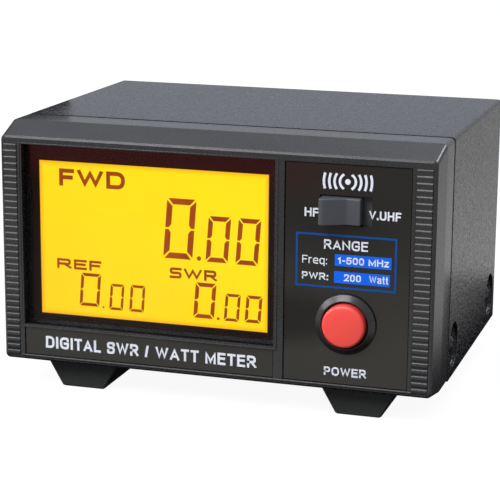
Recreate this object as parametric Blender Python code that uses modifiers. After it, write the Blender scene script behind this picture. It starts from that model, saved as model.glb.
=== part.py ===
"""SWR and power meter for a radio station: a two-band desktop meter in a folded steel case.

Metres, +Z up. +X is to the right as the user faces it and -Y is the front. The origin is at the
bottom centre of the object's box, on the surface it stands on.
"""

import math

import bmesh
import bpy
from mathutils import Matrix, Vector
from mathutils.geometry import interpolate_bezier

GAP = 0.0003  # clearance between any two pieces that seat on each other

# Case
CASE_WIDTH = 0.155
CASE_HEIGHT = 0.0853
CASE_DEPTH = 0.117
SHEET = 0.001  # thickness of the top cover
PLATE = 0.0012  # thickness of the chassis
BEND = 0.0014  # outer radius of the cover's two long bends

# Front bezel
BEZEL_DEPTH = 0.025
SLOPE_DEPTH = 0.012  # from the front face back to the full section
TOP_DROP = 0.0040  # how far the slope lowers the top edge of the front face
SIDE_DROP = 0.0007
BOTTOM_DROP = 0.0016
BEZEL_WALL = 0.002
FRONT_WALL = 0.003
CORNER = 0.0016  # corner radius of the bezel's outline
SEAM = 0.0005  # visible joint between the bezel and the cover
FRONT_EDGE = 0.0006  # rounding of the front face's outer edge

# Layout of the front face
SIDE_MARGIN = 0.0083  # ribbed strip and its rim, left of the window
PANEL_MARGIN = 0.0089  # the same, right of the control panel
TOP_RIM = 0.0026
BOTTOM_RIM = 0.0018
TITLE_HEIGHT = 0.0104
TITLE_RIDGE = 0.0007  # narrow ridge between the window and the title strip
DIVIDER = 0.0033
PANEL_WIDTH = 0.0431
PLATE_POCKET = 0.0018  # depth of the pockets of the control panel and the title plate
FACE_PLATE = 0.001
STRIPS = ((-1, 0.0008, 0.0051), (1, 0.0013, 0.0056))  # side, outer rim and width of the ribs
STRIP_POCKET = 0.0008

# Display stack, from the front wall back
LENS_LAP = 0.0009
LENS = 0.0015
GLASS_LAP = 0.0006
GLASS_FRONT = 0.0078  # depth of the display glass behind the front face
GLASS = 0.0024
BACKLIGHT = 0.0035
BOARD = 0.0016
HOLDER_WALL = 0.0012

# Band switch
KNOB_WIDTH = 0.0137
KNOB_HEIGHT = 0.009
KNOB_REACH = 0.0048  # from the front face to the crest of the thumb catch
KNOB_TRAVEL = 0.003
KNOB_LEFT = 0.0126  # from the panel's left edge
KNOB_BELOW_TOP = 0.0182  # knob centre below the top of the front face
KNOB_PLAY = 0.0005
STEM_WIDTH = 0.004
STEM_HEIGHT = 0.003
SWITCH_DEPTH = 0.009
SWITCH_WALL = 0.004

# Power switch
BUTTON_Z = 0.023  # above the bottom edge of the front face
BUTTON_FROM_LEFT = 0.0217  # from the panel's left edge
RING_RADIUS = 0.0104
RING_REACH = 0.0019
RING_BORE = 0.0079
RING_SLOPE = 0.0014  # how far the ring's face falls back at its outer edge
RING_LIP = 0.0004
TURNED_STEPS = 48  # sides of the round parts that show
CAP_RADIUS = 0.0074
CAP_REACH = 0.0046
CAP_LENGTH = 0.0066
CAP_EDGE = 0.0011
CAP_DOME = 0.0004
BUTTON_TRAVEL = 0.0025
BUTTON_STEM = 0.0025
BARREL_RADIUS = 0.0092
BARREL_LENGTH = 0.0175
BARREL_CHAMBER = 0.0115  # from the ring's face to the floor that the spring rests on
NUT_RADIUS = 0.0122
NUT_HEIGHT = 0.003
SPRING_TURNS = 4.5
SPRING_WIRE = 0.0004
SPRING_RADIUS = 0.0048

# Feet
FOOT_HEIGHT = 0.0095
FOOT_TOP = 0.0264
FOOT_BOTTOM = 0.0157
FOOT_LENGTH = 0.028
FOOT_INSET = 0.0272  # foot centre from the side of the case
FOOT_SETBACK = 0.0074
FOOT_SCREW_BACK = 0.0075  # screw centre from the foot's inner end
FOOT_SINK = 0.0045  # counterbore depth
FOOT_COUNTERBORE = 0.0042

# Side screws and their round recesses
DISH_RADIUS = 0.0077
DISH_DEPTH = 0.0022
DISH_EDGE = 0.0009  # between a front recess and the seam
DISH_REAR_EDGE = 0.0003  # between a rear recess's rim and the rear wall
DISH_FLOOR_EDGE = 0.0011  # between a recess's rim and the floor plate
SCREW_RADIUS = 0.0014
SCREW_HOLE = 0.0018
SCREW_HEAD = 0.003
SCREW_HEAD_HEIGHT = 0.0018
SCREW_LENGTH = 0.006

# Bezel bosses
BOSS_RADIUS = 0.0033
BOSS_INSET = 0.0066  # from the side of the case
BOSS_LENGTH = 0.0047
BOSS_LOW = 0.0085
BOSS_HIGH = 0.0095  # below the top of the case

# Rear sockets and couplers
SOCKET_SIDE = 0.0254
SOCKET_FLANGE = 0.0024
SOCKET_RADIUS = 0.0079
SOCKET_BORE = 0.0061
SOCKET_REACH = 0.0145
SOCKET_Z = 0.0466  # above the underside of the case
SOCKET_PITCH = 0.029
SOCKET_EDGE = 0.0205  # outer socket from the side of the case
INSULATOR_TAIL = 0.006
CONTACT_RADIUS = 0.0031
CONTACT_BORE = 0.002
CONTACT_PIN = 0.0012
COUPLER_END = 0.012  # how far a coupler's box reaches past its sockets' axes
COUPLER_HEIGHT = 0.03
COUPLER_DEPTH = 0.03
LINE_DEPTH = 0.0165  # through line in front of the rear wall
HF_LINE_RADIUS = 0.0016
UHF_LINE_RADIUS = 0.004
TOROID_RADIUS = 0.0075
TOROID_BORE = 0.0035
TOROID_WIDTH = 0.006

# Power jack
JACK_Z = 0.0175
JACK_RADIUS = 0.0039
JACK_REACH = 0.004
JACK_BLOCK = 0.0055
JACK_DEPTH = 0.012
JACK_BORE = 0.0028
JACK_PIN = 0.00105
JACK_NUT = 0.0058
JACK_NUT_HEIGHT = 0.0018

# Main board
BOARD_MARGIN = 0.0155
BOARD_FRONT = 0.03
BOARD_REAR = 0.017
STANDOFF_RADIUS = 0.003
STANDOFF_HEIGHT = 0.005
STANDOFF_INSET = 0.005
CHIP_X = 0.042  # from the board's left edge
CHIP_SIDE = 0.012
CHIP_HEIGHT = 0.0016
REGULATOR = (0.010, 0.0045, 0.0145)
REGULATOR_X = 0.022  # from the board's right edge
RIBBON_WIDTH = 0.025
RIBBON_THICKNESS = 0.0008

# Places worked out from the sizes above. "Depth" is measured back from the front face.
FRONT_Y = (max(CAP_REACH, KNOB_REACH) - CASE_DEPTH - SOCKET_REACH) / 2
UNDER = FOOT_HEIGHT  # underside of the case
TOP = UNDER + CASE_HEIGHT
HALF = CASE_WIDTH / 2
FACE_LOW = UNDER + BOTTOM_DROP
FACE_HIGH = TOP - TOP_DROP
FACE_HALF = HALF - SIDE_DROP
FLOOR_TOP = UNDER + PLATE
WINDOW_LEFT = -HALF + SIDE_MARGIN
PANEL_RIGHT = HALF - PANEL_MARGIN
PANEL_LEFT = PANEL_RIGHT - PANEL_WIDTH
WINDOW_RIGHT = PANEL_LEFT - DIVIDER
TITLE_LOW = FACE_LOW + BOTTOM_RIM
TITLE_HIGH = TITLE_LOW + TITLE_HEIGHT
WINDOW_LOW = TITLE_HIGH + TITLE_RIDGE
WINDOW_HIGH = FACE_HIGH - TOP_RIM
KNOB_X = PANEL_LEFT + KNOB_LEFT
KNOB_Z = FACE_HIGH - KNOB_BELOW_TOP
BUTTON_X = PANEL_LEFT + BUTTON_FROM_LEFT
BUTTON_HEIGHT = FACE_LOW + BUTTON_Z
HOLDER_FRONT = FRONT_WALL + GAP + LENS + GAP
HOLDER_BACK = GLASS_FRONT + GLASS + GAP + BACKLIGHT
BOARD_PLANE = HOLDER_BACK + GAP
FLANGE_FRONT = BEZEL_DEPTH - 2 * PLATE - GAP
COVER_FRONT = BEZEL_DEPTH + SEAM
SIDE_FLANGE_OUT = HALF - DISH_DEPTH - SHEET - GAP
WALL_HALF = HALF - SHEET - GAP
PAIR_X = HALF - SOCKET_EDGE - SOCKET_PITCH / 2  # centre of a pair of sockets
SOCKET_X = [side * PAIR_X + end * SOCKET_PITCH / 2 for side in (-1, 1) for end in (-1, 1)]
FOOT_SPREAD = HALF - FOOT_INSET
DISH_Z = PLATE + GAP + DISH_FLOOR_EDGE + SHEET + DISH_RADIUS
DISH_FRONT = COVER_FRONT + DISH_EDGE + DISH_RADIUS
DISH_REAR = PLATE + GAP + DISH_REAR_EDGE + SHEET + DISH_RADIUS
SOCKET_HEIGHT = UNDER + SOCKET_Z
STANDOFF_LOW = FLOOR_TOP + GAP
BOARD_LOW = STANDOFF_LOW + STANDOFF_HEIGHT + GAP


def world_y(depth):
    return FRONT_Y + depth


def clear_scene():
    for thing in list(bpy.data.objects):
        bpy.data.objects.remove(thing, do_unlink=True)


def new_collection(name, hidden=False):
    made = bpy.data.collections.new(name)
    bpy.context.scene.collection.children.link(made)
    made.hide_render = hidden
    return made


clear_scene()
PARTS = new_collection("swr_meter")
CUTTERS = new_collection("cutters", hidden=True)


def paint(name, colour, roughness, metallic=0.0, transmission=0.0):
    """A Principled material, made once for each name."""
    found = bpy.data.materials.get(name)
    if found:
        return found
    made = bpy.data.materials.new(name)
    made.use_nodes = True
    shader = made.node_tree.nodes["Principled BSDF"]
    shader.inputs["Base Color"].default_value = (*colour, 1.0)
    shader.inputs["Roughness"].default_value = roughness
    shader.inputs["Metallic"].default_value = metallic
    shader.inputs["Transmission Weight"].default_value = transmission
    made.diffuse_color = (*colour, 1.0)
    return made


def black_plastic():
    return paint("black_plastic", (0.035, 0.035, 0.038), 0.5)


def black_powder_coat():
    return paint("black_powder_coat", (0.05, 0.05, 0.055), 0.6)


def gloss_black():
    return paint("gloss_black", (0.012, 0.012, 0.013), 0.15)


def foot_plastic():
    return paint("foot_plastic", (0.015, 0.015, 0.015), 0.7)


def red_plastic():
    return paint("red_plastic", (0.85, 0.07, 0.06), 0.35)


def clear_plastic():
    return paint("clear_plastic", (0.95, 0.95, 0.95), 0.05, transmission=1.0)


def display_yellow():
    return paint("display_yellow", (1.0, 0.75, 0.03), 0.3)


def white_plastic():
    return paint("white_plastic", (0.85, 0.85, 0.83), 0.5)


def board_green():
    return paint("board_green", (0.02, 0.16, 0.06), 0.4)


def chip_black():
    return paint("chip_black", (0.02, 0.02, 0.02), 0.5)


def steel():
    return paint("steel", (0.55, 0.55, 0.55), 0.35, 1.0)


def black_steel():
    return paint("black_steel", (0.03, 0.03, 0.03), 0.35, 1.0)


def nickel():
    return paint("nickel", (0.72, 0.70, 0.66), 0.25, 1.0)


def gold():
    return paint("gold", (0.83, 0.62, 0.25), 0.25, 1.0)


def ferrite():
    return paint("ferrite", (0.10, 0.10, 0.11), 0.7)


def ribbon_grey():
    return paint("ribbon_grey", (0.45, 0.45, 0.47), 0.6)


def own(mesh, name, material, place):
    made = bpy.data.objects.new(name, mesh)
    if material:
        mesh.materials.append(material)
        PARTS.objects.link(made)
    else:
        CUTTERS.objects.link(made)
        made.hide_render = True
        made.display_type = "WIRE"
    made.location = place
    return made


def box(name, across, depths, heights, material=None):
    """A block between two x values, two depths behind the front face, and two heights."""
    low = Vector((min(across), world_y(min(depths)), min(heights)))
    high = Vector((max(across), world_y(max(depths)), max(heights)))
    mesh = bpy.data.meshes.new(name)
    shape = bmesh.new()
    bmesh.ops.create_cube(shape, size=1.0)
    bmesh.ops.scale(shape, vec=high - low, verts=shape.verts)
    shape.to_mesh(mesh)
    shape.free()
    return own(mesh, name, material, (low + high) / 2)


TURN = {
    "z": Matrix.Identity(4),
    "y": Matrix.Rotation(math.radians(-90), 4, "X"),
    "x": Matrix.Rotation(math.radians(90), 4, "Y"),
    "-y": Matrix.Rotation(math.radians(90), 4, "X"),
    "-x": Matrix.Rotation(math.radians(-90), 4, "Y"),
}


def point_along(thing, axis):
    """Turns an object whose length is along its own Z so that it lies along this axis."""
    place = thing.location.copy()
    thing.matrix_world = Matrix.Translation(place) @ TURN[axis]


def rod(name, radius, start, length, axis="z", material=None, sides=24):
    """A cylinder, or a prism of few sides, from start along the axis."""
    mesh = bpy.data.meshes.new(name)
    shape = bmesh.new()
    bmesh.ops.create_cone(
        shape, cap_ends=True, segments=sides, radius1=radius, radius2=radius, depth=length
    )
    bmesh.ops.translate(shape, vec=(0, 0, length / 2), verts=shape.verts)
    shape.to_mesh(mesh)
    shape.free()
    if sides > 8:
        mesh.shade_smooth()
        mesh.set_sharp_from_angle(angle=math.radians(40))
    made = own(mesh, name, material, start)
    point_along(made, axis)
    return made


def turned(name, profile, start, axis, material, steps=24, ring=False):
    """A Screw modifier round the axis. The profile is (radius, height) pairs, top to bottom."""
    mesh = bpy.data.meshes.new(name)
    shape = bmesh.new()
    line = [shape.verts.new((radius, 0.0, height)) for radius, height in profile]
    for one, two in zip(line, line[1:]):
        shape.edges.new((one, two))
    if ring:
        shape.edges.new((line[-1], line[0]))
    shape.to_mesh(mesh)
    shape.free()
    made = own(mesh, name, material, start)
    point_along(made, axis)
    screw = made.modifiers.new("turn", "SCREW")
    screw.steps = steps
    screw.render_steps = steps
    screw.use_merge_vertices = True
    screw.merge_threshold = 0.00001
    screw.use_smooth_shade = True
    screw.use_normal_calculate = False
    return made


def hide(thing):
    for holder in list(thing.users_collection):
        holder.objects.unlink(thing)
    CUTTERS.objects.link(thing)
    thing.hide_render = True
    thing.display_type = "WIRE"


def combine(thing, other, operation):
    if other.name not in CUTTERS.objects:
        hide(other)
    step = thing.modifiers.new(other.name, "BOOLEAN")
    step.operation = operation
    step.solver = "EXACT"
    step.object = other
    return thing


def cut(thing, *others):
    for other in others:
        combine(thing, other, "DIFFERENCE")
    return thing


def join(thing, *others):
    for other in others:
        combine(thing, other, "UNION")
    return thing


def soften(thing, width, segments=2, angle=40):
    bevel = thing.modifiers.new("soft_edges", "BEVEL")
    bevel.width = width
    bevel.segments = segments
    bevel.limit_method = "ANGLE"
    bevel.angle_limit = math.radians(angle)
    bevel.harden_normals = False
    return thing


def rounded_outline(half, low, high, radius, steps=4):
    """Points round a rectangle with round corners, as (x, z), anticlockwise from the front."""
    points = []
    corners = ((half, high, 0), (-half, high, 90), (-half, low, 180), (half, low, 270))
    for x, z, start in corners:
        middle_x = x - math.copysign(radius, x)
        middle_z = z - radius if z == high else z + radius
        for step in range(steps + 1):
            angle = math.radians(start + 90 * step / steps)
            points.append((middle_x + radius * math.cos(angle), middle_z + radius * math.sin(angle)))
    return points


def loft(name, sections, material=None):
    """A solid through rounded rectangles. Each section is (depth, half width, low, high, radius)."""
    mesh = bpy.data.meshes.new(name)
    shape = bmesh.new()
    rings = []
    for depth, half, low, high, radius in sections:
        outline = rounded_outline(half, low, high, radius)
        rings.append([shape.verts.new((x, world_y(depth), z)) for x, z in outline])
    for near, far in zip(rings, rings[1:]):
        for index in range(len(near)):
            after = (index + 1) % len(near)
            shape.faces.new((near[index], near[after], far[after], far[index]))
    shape.faces.new(rings[0])
    shape.faces.new(rings[-1])
    bmesh.ops.recalc_face_normals(shape, faces=shape.faces)
    shape.to_mesh(mesh)
    shape.free()
    return own(mesh, name, material, (0, 0, 0))


def extruded(name, places, way, material=None):
    """A flat outline through these places, extruded by the vector way."""
    mesh = bpy.data.meshes.new(name)
    shape = bmesh.new()
    base = shape.faces.new([shape.verts.new(place) for place in places])
    grown = bmesh.ops.extrude_face_region(shape, geom=[base])
    moved = [item for item in grown["geom"] if isinstance(item, bmesh.types.BMVert)]
    bmesh.ops.translate(shape, vec=way, verts=moved)
    bmesh.ops.recalc_face_normals(shape, faces=shape.faces)
    shape.to_mesh(mesh)
    shape.free()
    return own(mesh, name, material, (0, 0, 0))


def bezel_section(depth, inset=0.0):
    """The bezel's outline at a depth, as (half width, low, high)."""
    share = min(depth / SLOPE_DEPTH, 1.0)
    half = FACE_HALF + SIDE_DROP * share - inset
    low = FACE_LOW - BOTTOM_DROP * share + inset
    high = FACE_HIGH + TOP_DROP * share - inset
    return half, low, high


def make_bezel():
    half, low, high = bezel_section(0)
    sections = [(0.0, half - FRONT_EDGE, low + FRONT_EDGE, high - FRONT_EDGE, CORNER)]
    for depth in (FRONT_EDGE, SLOPE_DEPTH, BEZEL_DEPTH):
        sections.append((depth, *bezel_section(depth), CORNER))
    bezel = loft("front_bezel", sections, black_plastic())
    hollow = []
    for depth in (FRONT_WALL, SLOPE_DEPTH, BEZEL_DEPTH + SHEET):
        hollow.append((depth, *bezel_section(depth, BEZEL_WALL), CORNER / 2))
    cut(bezel, loft("bezel_hollow", hollow))
    through = (-SHEET, FRONT_WALL + SHEET)
    cut(bezel, box("window_opening", (WINDOW_LEFT, WINDOW_RIGHT), through, (WINDOW_LOW, WINDOW_HIGH)))
    title = (TITLE_LOW, TITLE_HIGH)
    cut(bezel, box("title_pocket", (WINDOW_LEFT, WINDOW_RIGHT), (-SHEET, PLATE_POCKET), title))
    panel = (TITLE_LOW, WINDOW_HIGH)
    cut(bezel, box("panel_pocket", (PANEL_LEFT, PANEL_RIGHT), (-SHEET, PLATE_POCKET), panel))
    strip = (TITLE_LOW, WINDOW_HIGH)
    for side, rim, width in STRIPS:
        outer = FACE_HALF - rim
        across = (side * outer, side * (outer - width))
        cut(bezel, box(f"strip_pocket_{side}", across, (-SHEET, STRIP_POCKET), strip))
    cut(bezel, box("knob_opening", knob_slot(), through, knob_heights(KNOB_PLAY)))
    centre = (BUTTON_X, world_y(-SHEET), BUTTON_HEIGHT)
    cut(bezel, rod("barrel_hole", BARREL_RADIUS + GAP, centre, FRONT_WALL + 2 * SHEET, "y"))
    boss_start = FLANGE_FRONT - GAP - BOSS_LENGTH
    for x, z in screw_corners():
        reach = math.copysign(HALF - BEZEL_WALL / 2, x)
        heights = (z - BOSS_RADIUS, z + BOSS_RADIUS)
        inner = x - math.copysign(BOSS_RADIUS, x)
        depths = (boss_start, FLANGE_FRONT - GAP)
        join(bezel, box(f"boss_{x:.3f}_{z:.3f}", (inner, reach), depths, heights))
        start = (x, world_y(boss_start - SHEET), z)
        cut(bezel, rod(f"boss_hole_{x:.3f}_{z:.3f}", SCREW_HOLE, start, 0.01, "y", sides=12))
    return bezel


def screw_corners():
    x = HALF - BOSS_INSET
    return [(side * x, z) for side in (-1, 1) for z in (UNDER + BOSS_LOW, TOP - BOSS_HIGH)]


def knob_slot():
    left = KNOB_X - KNOB_PLAY
    return left, KNOB_X + KNOB_WIDTH + KNOB_TRAVEL + KNOB_PLAY


def knob_heights(play=0.0):
    return KNOB_Z - KNOB_HEIGHT / 2 - play, KNOB_Z + KNOB_HEIGHT / 2 + play


def make_face_plates():
    depths = (PLATE_POCKET - GAP - FACE_PLATE, PLATE_POCKET - GAP)
    heights = (TITLE_LOW + GAP, TITLE_HIGH - GAP)
    box("title_plate", (WINDOW_LEFT + GAP, WINDOW_RIGHT - GAP), depths, heights, gloss_black())
    heights = (TITLE_LOW + GAP, WINDOW_HIGH - GAP)
    across = (PANEL_LEFT + GAP, PANEL_RIGHT - GAP)
    panel = box("control_panel", across, depths, heights, gloss_black())
    through = (-SHEET, PLATE_POCKET + SHEET)
    cut(panel, box("panel_knob_slot", knob_slot(), through, knob_heights(KNOB_PLAY)))
    centre = (BUTTON_X, world_y(-SHEET), BUTTON_HEIGHT)
    cut(panel, rod("panel_barrel_hole", BARREL_RADIUS + GAP, centre, 0.004, "y"))


def make_display():
    def around(lap):
        return (WINDOW_LEFT - lap, WINDOW_RIGHT + lap), (WINDOW_LOW - lap, WINDOW_HIGH + lap)

    across, heights = around(LENS_LAP)
    start = FRONT_WALL + GAP
    box("display_lens", across, (start, start + LENS), heights, clear_plastic())
    across, heights = around(GLASS_LAP + GAP + HOLDER_WALL)
    holder = box("display_holder", across, (HOLDER_FRONT, HOLDER_BACK), heights, black_plastic())
    inner_x, inner_z = around(GLASS_LAP + GAP)
    seat = (GLASS_FRONT - GAP, HOLDER_BACK + SHEET)
    cut(holder, box("holder_seat", inner_x, seat, inner_z))
    cut(holder, box("holder_window", *window_between(HOLDER_FRONT - SHEET, GLASS_FRONT)))
    box("display_board", across, (BOARD_PLANE, BOARD_PLANE + BOARD), heights, board_green())
    across, heights = around(GLASS_LAP)
    back = GLASS_FRONT + GLASS
    box("display_glass", across, (GLASS_FRONT, back), heights, display_yellow())
    light = (back + GAP, back + GAP + BACKLIGHT - GAP)
    box("backlight", across, light, heights, white_plastic())


def window_between(front, back):
    return (WINDOW_LEFT, WINDOW_RIGHT), (front, back), (WINDOW_LOW, WINDOW_HIGH)


def make_band_switch():
    slot_left, slot_right = knob_slot()
    low, high = knob_heights(KNOB_PLAY)
    across = (slot_left - SWITCH_WALL, slot_right + SWITCH_WALL)
    heights = (low - SWITCH_WALL, high + SWITCH_WALL)
    front = FRONT_WALL + GAP
    body = box("band_switch_body", across, (front, front + SWITCH_DEPTH), heights, black_plastic())
    middle = KNOB_X + KNOB_WIDTH / 2
    stem = (middle - STEM_WIDTH / 2, middle + STEM_WIDTH / 2)
    slot = (stem[0] - KNOB_PLAY, stem[1] + KNOB_TRAVEL + KNOB_PLAY)
    stem_z = (KNOB_Z - STEM_HEIGHT / 2, KNOB_Z + STEM_HEIGHT / 2)
    slot_z = (stem_z[0] - KNOB_PLAY, stem_z[1] + KNOB_PLAY)
    cut(body, box("stem_slot", slot, (front - SHEET, front + SWITCH_DEPTH - PLATE), slot_z))
    back = FRONT_WALL - GAP
    right = KNOB_X + KNOB_WIDTH
    valley = KNOB_X + 0.62 * KNOB_WIDTH
    outline = [
        (KNOB_X, back),
        (right, back),
        (right, -0.0016),
        (valley + 0.0006, -0.0014),
        (KNOB_X + 0.0024, -KNOB_REACH + 0.0003),
        (KNOB_X + 0.0012, -KNOB_REACH),
        (KNOB_X + 0.0003, -KNOB_REACH + 0.0004),
        (KNOB_X, -KNOB_REACH + 0.0013),
    ]
    low, high = knob_heights()
    places = [(x, world_y(depth), low) for x, depth in outline]
    knob = extruded("band_knob", places, (0, 0, high - low), black_plastic())
    join(knob, box("knob_stem", stem, (back - SHEET, front + 0.6 * SWITCH_DEPTH), stem_z))
    centre = Vector((middle, world_y(0), KNOB_Z))
    knob.data.transform(Matrix.Translation(-centre))
    knob.location = centre


def make_power_switch():
    panel_front = PLATE_POCKET - GAP - FACE_PLATE
    seat = panel_front - GAP
    centre = (BUTTON_X, world_y(-RING_REACH), BUTTON_HEIGHT)
    lip = RING_REACH + seat
    floor = BARREL_CHAMBER
    end = BARREL_LENGTH
    hole = BUTTON_STEM + GAP
    profile = [
        (hole, end),
        (BARREL_RADIUS, end),
        (BARREL_RADIUS, lip),
        (RING_RADIUS, lip),
        (RING_RADIUS, RING_SLOPE),
        (RING_BORE + RING_LIP, 0.0),
        (RING_BORE, RING_LIP),
        (RING_BORE, floor),
        (hole, floor),
    ]
    turned("power_switch_body", profile, centre, "y", gloss_black(), TURNED_STEPS, ring=True)
    start = (BUTTON_X, world_y(FRONT_WALL + GAP), BUTTON_HEIGHT)
    nut = rod("power_switch_nut", NUT_RADIUS, start, NUT_HEIGHT, "y", nickel(), sides=6)
    cut(nut, rod("power_nut_hole", BARREL_RADIUS + GAP, (start[0], start[1] - SHEET, start[2]),
                 NUT_HEIGHT + 2 * SHEET, "y"))
    front = (BUTTON_X, world_y(-CAP_REACH), BUTTON_HEIGHT)
    stem_end = CAP_REACH - RING_REACH + BARREL_LENGTH - BUTTON_TRAVEL - 0.002
    profile = [
        (0.0, stem_end),
        (BUTTON_STEM, stem_end),
        (BUTTON_STEM, CAP_LENGTH),
        (CAP_RADIUS, CAP_LENGTH),
        (CAP_RADIUS, CAP_EDGE + CAP_DOME),
        (CAP_RADIUS - 0.3 * CAP_EDGE, 0.3 * CAP_EDGE + CAP_DOME),
        (CAP_RADIUS - CAP_EDGE, CAP_DOME),
        (0.5 * CAP_RADIUS, 0.3 * CAP_DOME),
        (0.0, 0.0),
    ]
    turned("power_button", profile, front, "y", red_plastic(), TURNED_STEPS)
    make_spring()


def make_spring():
    """A compression spring round the stem, between the cap and the floor of the barrel."""
    start = CAP_LENGTH - CAP_REACH + GAP + SPRING_WIRE
    end = BARREL_CHAMBER - RING_REACH - GAP - SPRING_WIRE
    steps = 12
    count = int(SPRING_TURNS * steps)
    curve = bpy.data.curves.new("power_button_spring", "CURVE")
    curve.dimensions = "3D"
    curve.bevel_depth = SPRING_WIRE
    curve.bevel_resolution = 1
    curve.use_fill_caps = True
    line = curve.splines.new("POLY")
    line.points.add(count)
    for index in range(count + 1):
        angle = 2 * math.pi * index / steps
        depth = start + (end - start) * index / count
        x = BUTTON_X + SPRING_RADIUS * math.cos(angle)
        z = BUTTON_HEIGHT + SPRING_RADIUS * math.sin(angle)
        line.points[index].co = (x, world_y(depth), z, 1.0)
    curve.materials.append(steel())
    spring = bpy.data.objects.new("power_button_spring", curve)
    PARTS.objects.link(spring)


def make_cover():
    end = CASE_DEPTH + SEAM
    high = TOP

    def channel(name, inset, front, back, material=None):
        half = HALF - inset
        radius = max(BEND - inset, 0.0004)
        low = UNDER - 0.01
        sections = [(depth, half, low, high - inset, radius) for depth in (front, back)]
        return loft(name, sections, material)

    cover = channel("top_cover", 0.0, COVER_FRONT, end, black_powder_coat())
    cut(cover, box("cover_underside", (-HALF - SHEET, HALF + SHEET),
                   (COVER_FRONT - SHEET, end + SHEET), (UNDER - 0.02, UNDER)))
    cut(cover, channel("cover_hollow", SHEET, COVER_FRONT - SHEET, end + SHEET))
    for side, turn in ((-1, "-x"), (1, "x")):
        for name, depth in dish_depths():
            inner = side * (HALF - DISH_DEPTH - SHEET)
            start = Vector((inner, world_y(depth), UNDER + DISH_Z))
            reach = DISH_DEPTH + SHEET / 2
            pad = rod(f"dish_pad_{name}_{side}", DISH_RADIUS + SHEET, start, reach, turn, sides=40)
            join(cover, pad)
            start.x = side * (HALF - DISH_DEPTH)
            reach = DISH_DEPTH + SHEET
            cut(cover, rod(f"dish_{name}_{side}", DISH_RADIUS, start, reach, turn, sides=40))
            start.x = side * (HALF - 0.01)
            cut(cover, rod(f"dish_hole_{name}_{side}", SCREW_HOLE, start, 0.012, turn, sides=12))
    ahead = (COVER_FRONT - DISH_RADIUS, COVER_FRONT)
    return cut(cover, box("cover_front_trim", (-HALF - SHEET, HALF + SHEET), ahead, (0, TOP + SHEET)))


def dish_depths():
    return ("front", DISH_FRONT), ("rear", CASE_DEPTH - DISH_REAR)


def bent_sheet(name, outline, half, material=None):
    """Folded plate: its edge-on outline of (depth, height) points, across the width of the case."""
    places = [(-half, world_y(depth), height) for depth, height in outline]
    return extruded(name, places, (2 * half, 0, 0), material)


def make_chassis():
    rear = CASE_DEPTH - PLATE
    wall_top = TOP - SHEET - GAP
    tray = [
        (COVER_FRONT, UNDER),
        (CASE_DEPTH, UNDER),
        (CASE_DEPTH, wall_top),
        (rear, wall_top),
        (rear, FLOOR_TOP),
        (COVER_FRONT, FLOOR_TOP),
    ]
    chassis = bent_sheet("chassis", tray, WALL_HALF, black_powder_coat())
    inside = BEZEL_WALL + GAP
    step_low = UNDER + inside
    riser = COVER_FRONT + GAP
    flange_top = TOP - inside
    step = [
        (FLANGE_FRONT, step_low),
        (riser, step_low),
        (riser, UNDER + PLATE / 2),
        (riser + PLATE, UNDER + PLATE / 2),
        (riser + PLATE, step_low + PLATE),
        (FLANGE_FRONT + PLATE, step_low + PLATE),
        (FLANGE_FRONT + PLATE, flange_top),
        (FLANGE_FRONT, flange_top),
    ]
    join(chassis, bent_sheet("front_flange", step, HALF - inside))
    open_half = HALF - 2 * BOSS_INSET - BOSS_RADIUS
    opening = (UNDER + BOSS_LOW + BOSS_RADIUS, TOP - BOSS_HIGH - BOSS_RADIUS)
    around = (FLANGE_FRONT - SHEET, FLANGE_FRONT + PLATE + SHEET)
    cut(chassis, box("flange_opening", (-open_half, open_half), around, opening))
    flange_z = UNDER + DISH_Z + DISH_RADIUS
    for side, turn in ((-1, "-x"), (1, "x")):
        across = (side * SIDE_FLANGE_OUT, side * (SIDE_FLANGE_OUT - PLATE))
        depths = (riser + PLATE / 2, rear + PLATE / 2)
        join(chassis, box(f"side_flange_{side}", across, depths, (UNDER + PLATE / 2, flange_z)))
        for name, depth in dish_depths():
            start = (side * (HALF - 0.008), world_y(depth), UNDER + DISH_Z)
            cut(chassis, rod(f"flange_hole_{name}_{side}", SCREW_HOLE, start, 0.006, turn, sides=12))
    for x, z in screw_corners():
        start = (x, world_y(FLANGE_FRONT - SHEET), z)
        cut(chassis, rod(f"corner_hole_{x:.3f}_{z:.3f}", SCREW_HOLE, start, 0.004, "y", sides=12))
    for x in SOCKET_X:
        start = (x, world_y(rear - SHEET), SOCKET_HEIGHT)
        cut(chassis, rod(f"socket_hole_{x:.3f}", SOCKET_BORE + GAP, start, 0.004, "y"))
    start = (0, world_y(rear - SHEET), UNDER + JACK_Z)
    cut(chassis, rod("jack_hole", JACK_RADIUS + GAP, start, 0.004, "y"))
    for name, x, depth, _ in foot_places():
        start = (x, world_y(depth), UNDER - SHEET)
        cut(chassis, rod(f"foot_hole_{name}", SCREW_HOLE, start, 0.004, "z", sides=12))
    return chassis


def foot_places():
    """Name, x, screw depth and the way to the foot's outer end, for the four feet."""
    near = FOOT_SETBACK + FOOT_LENGTH - FOOT_SCREW_BACK
    far = CASE_DEPTH - near
    for end, depth, way in (("front", near, -1), ("rear", far, 1)):
        for side, x in (("left", -FOOT_SPREAD), ("right", FOOT_SPREAD)):
            yield f"{end}_{side}", x, depth, way


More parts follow.
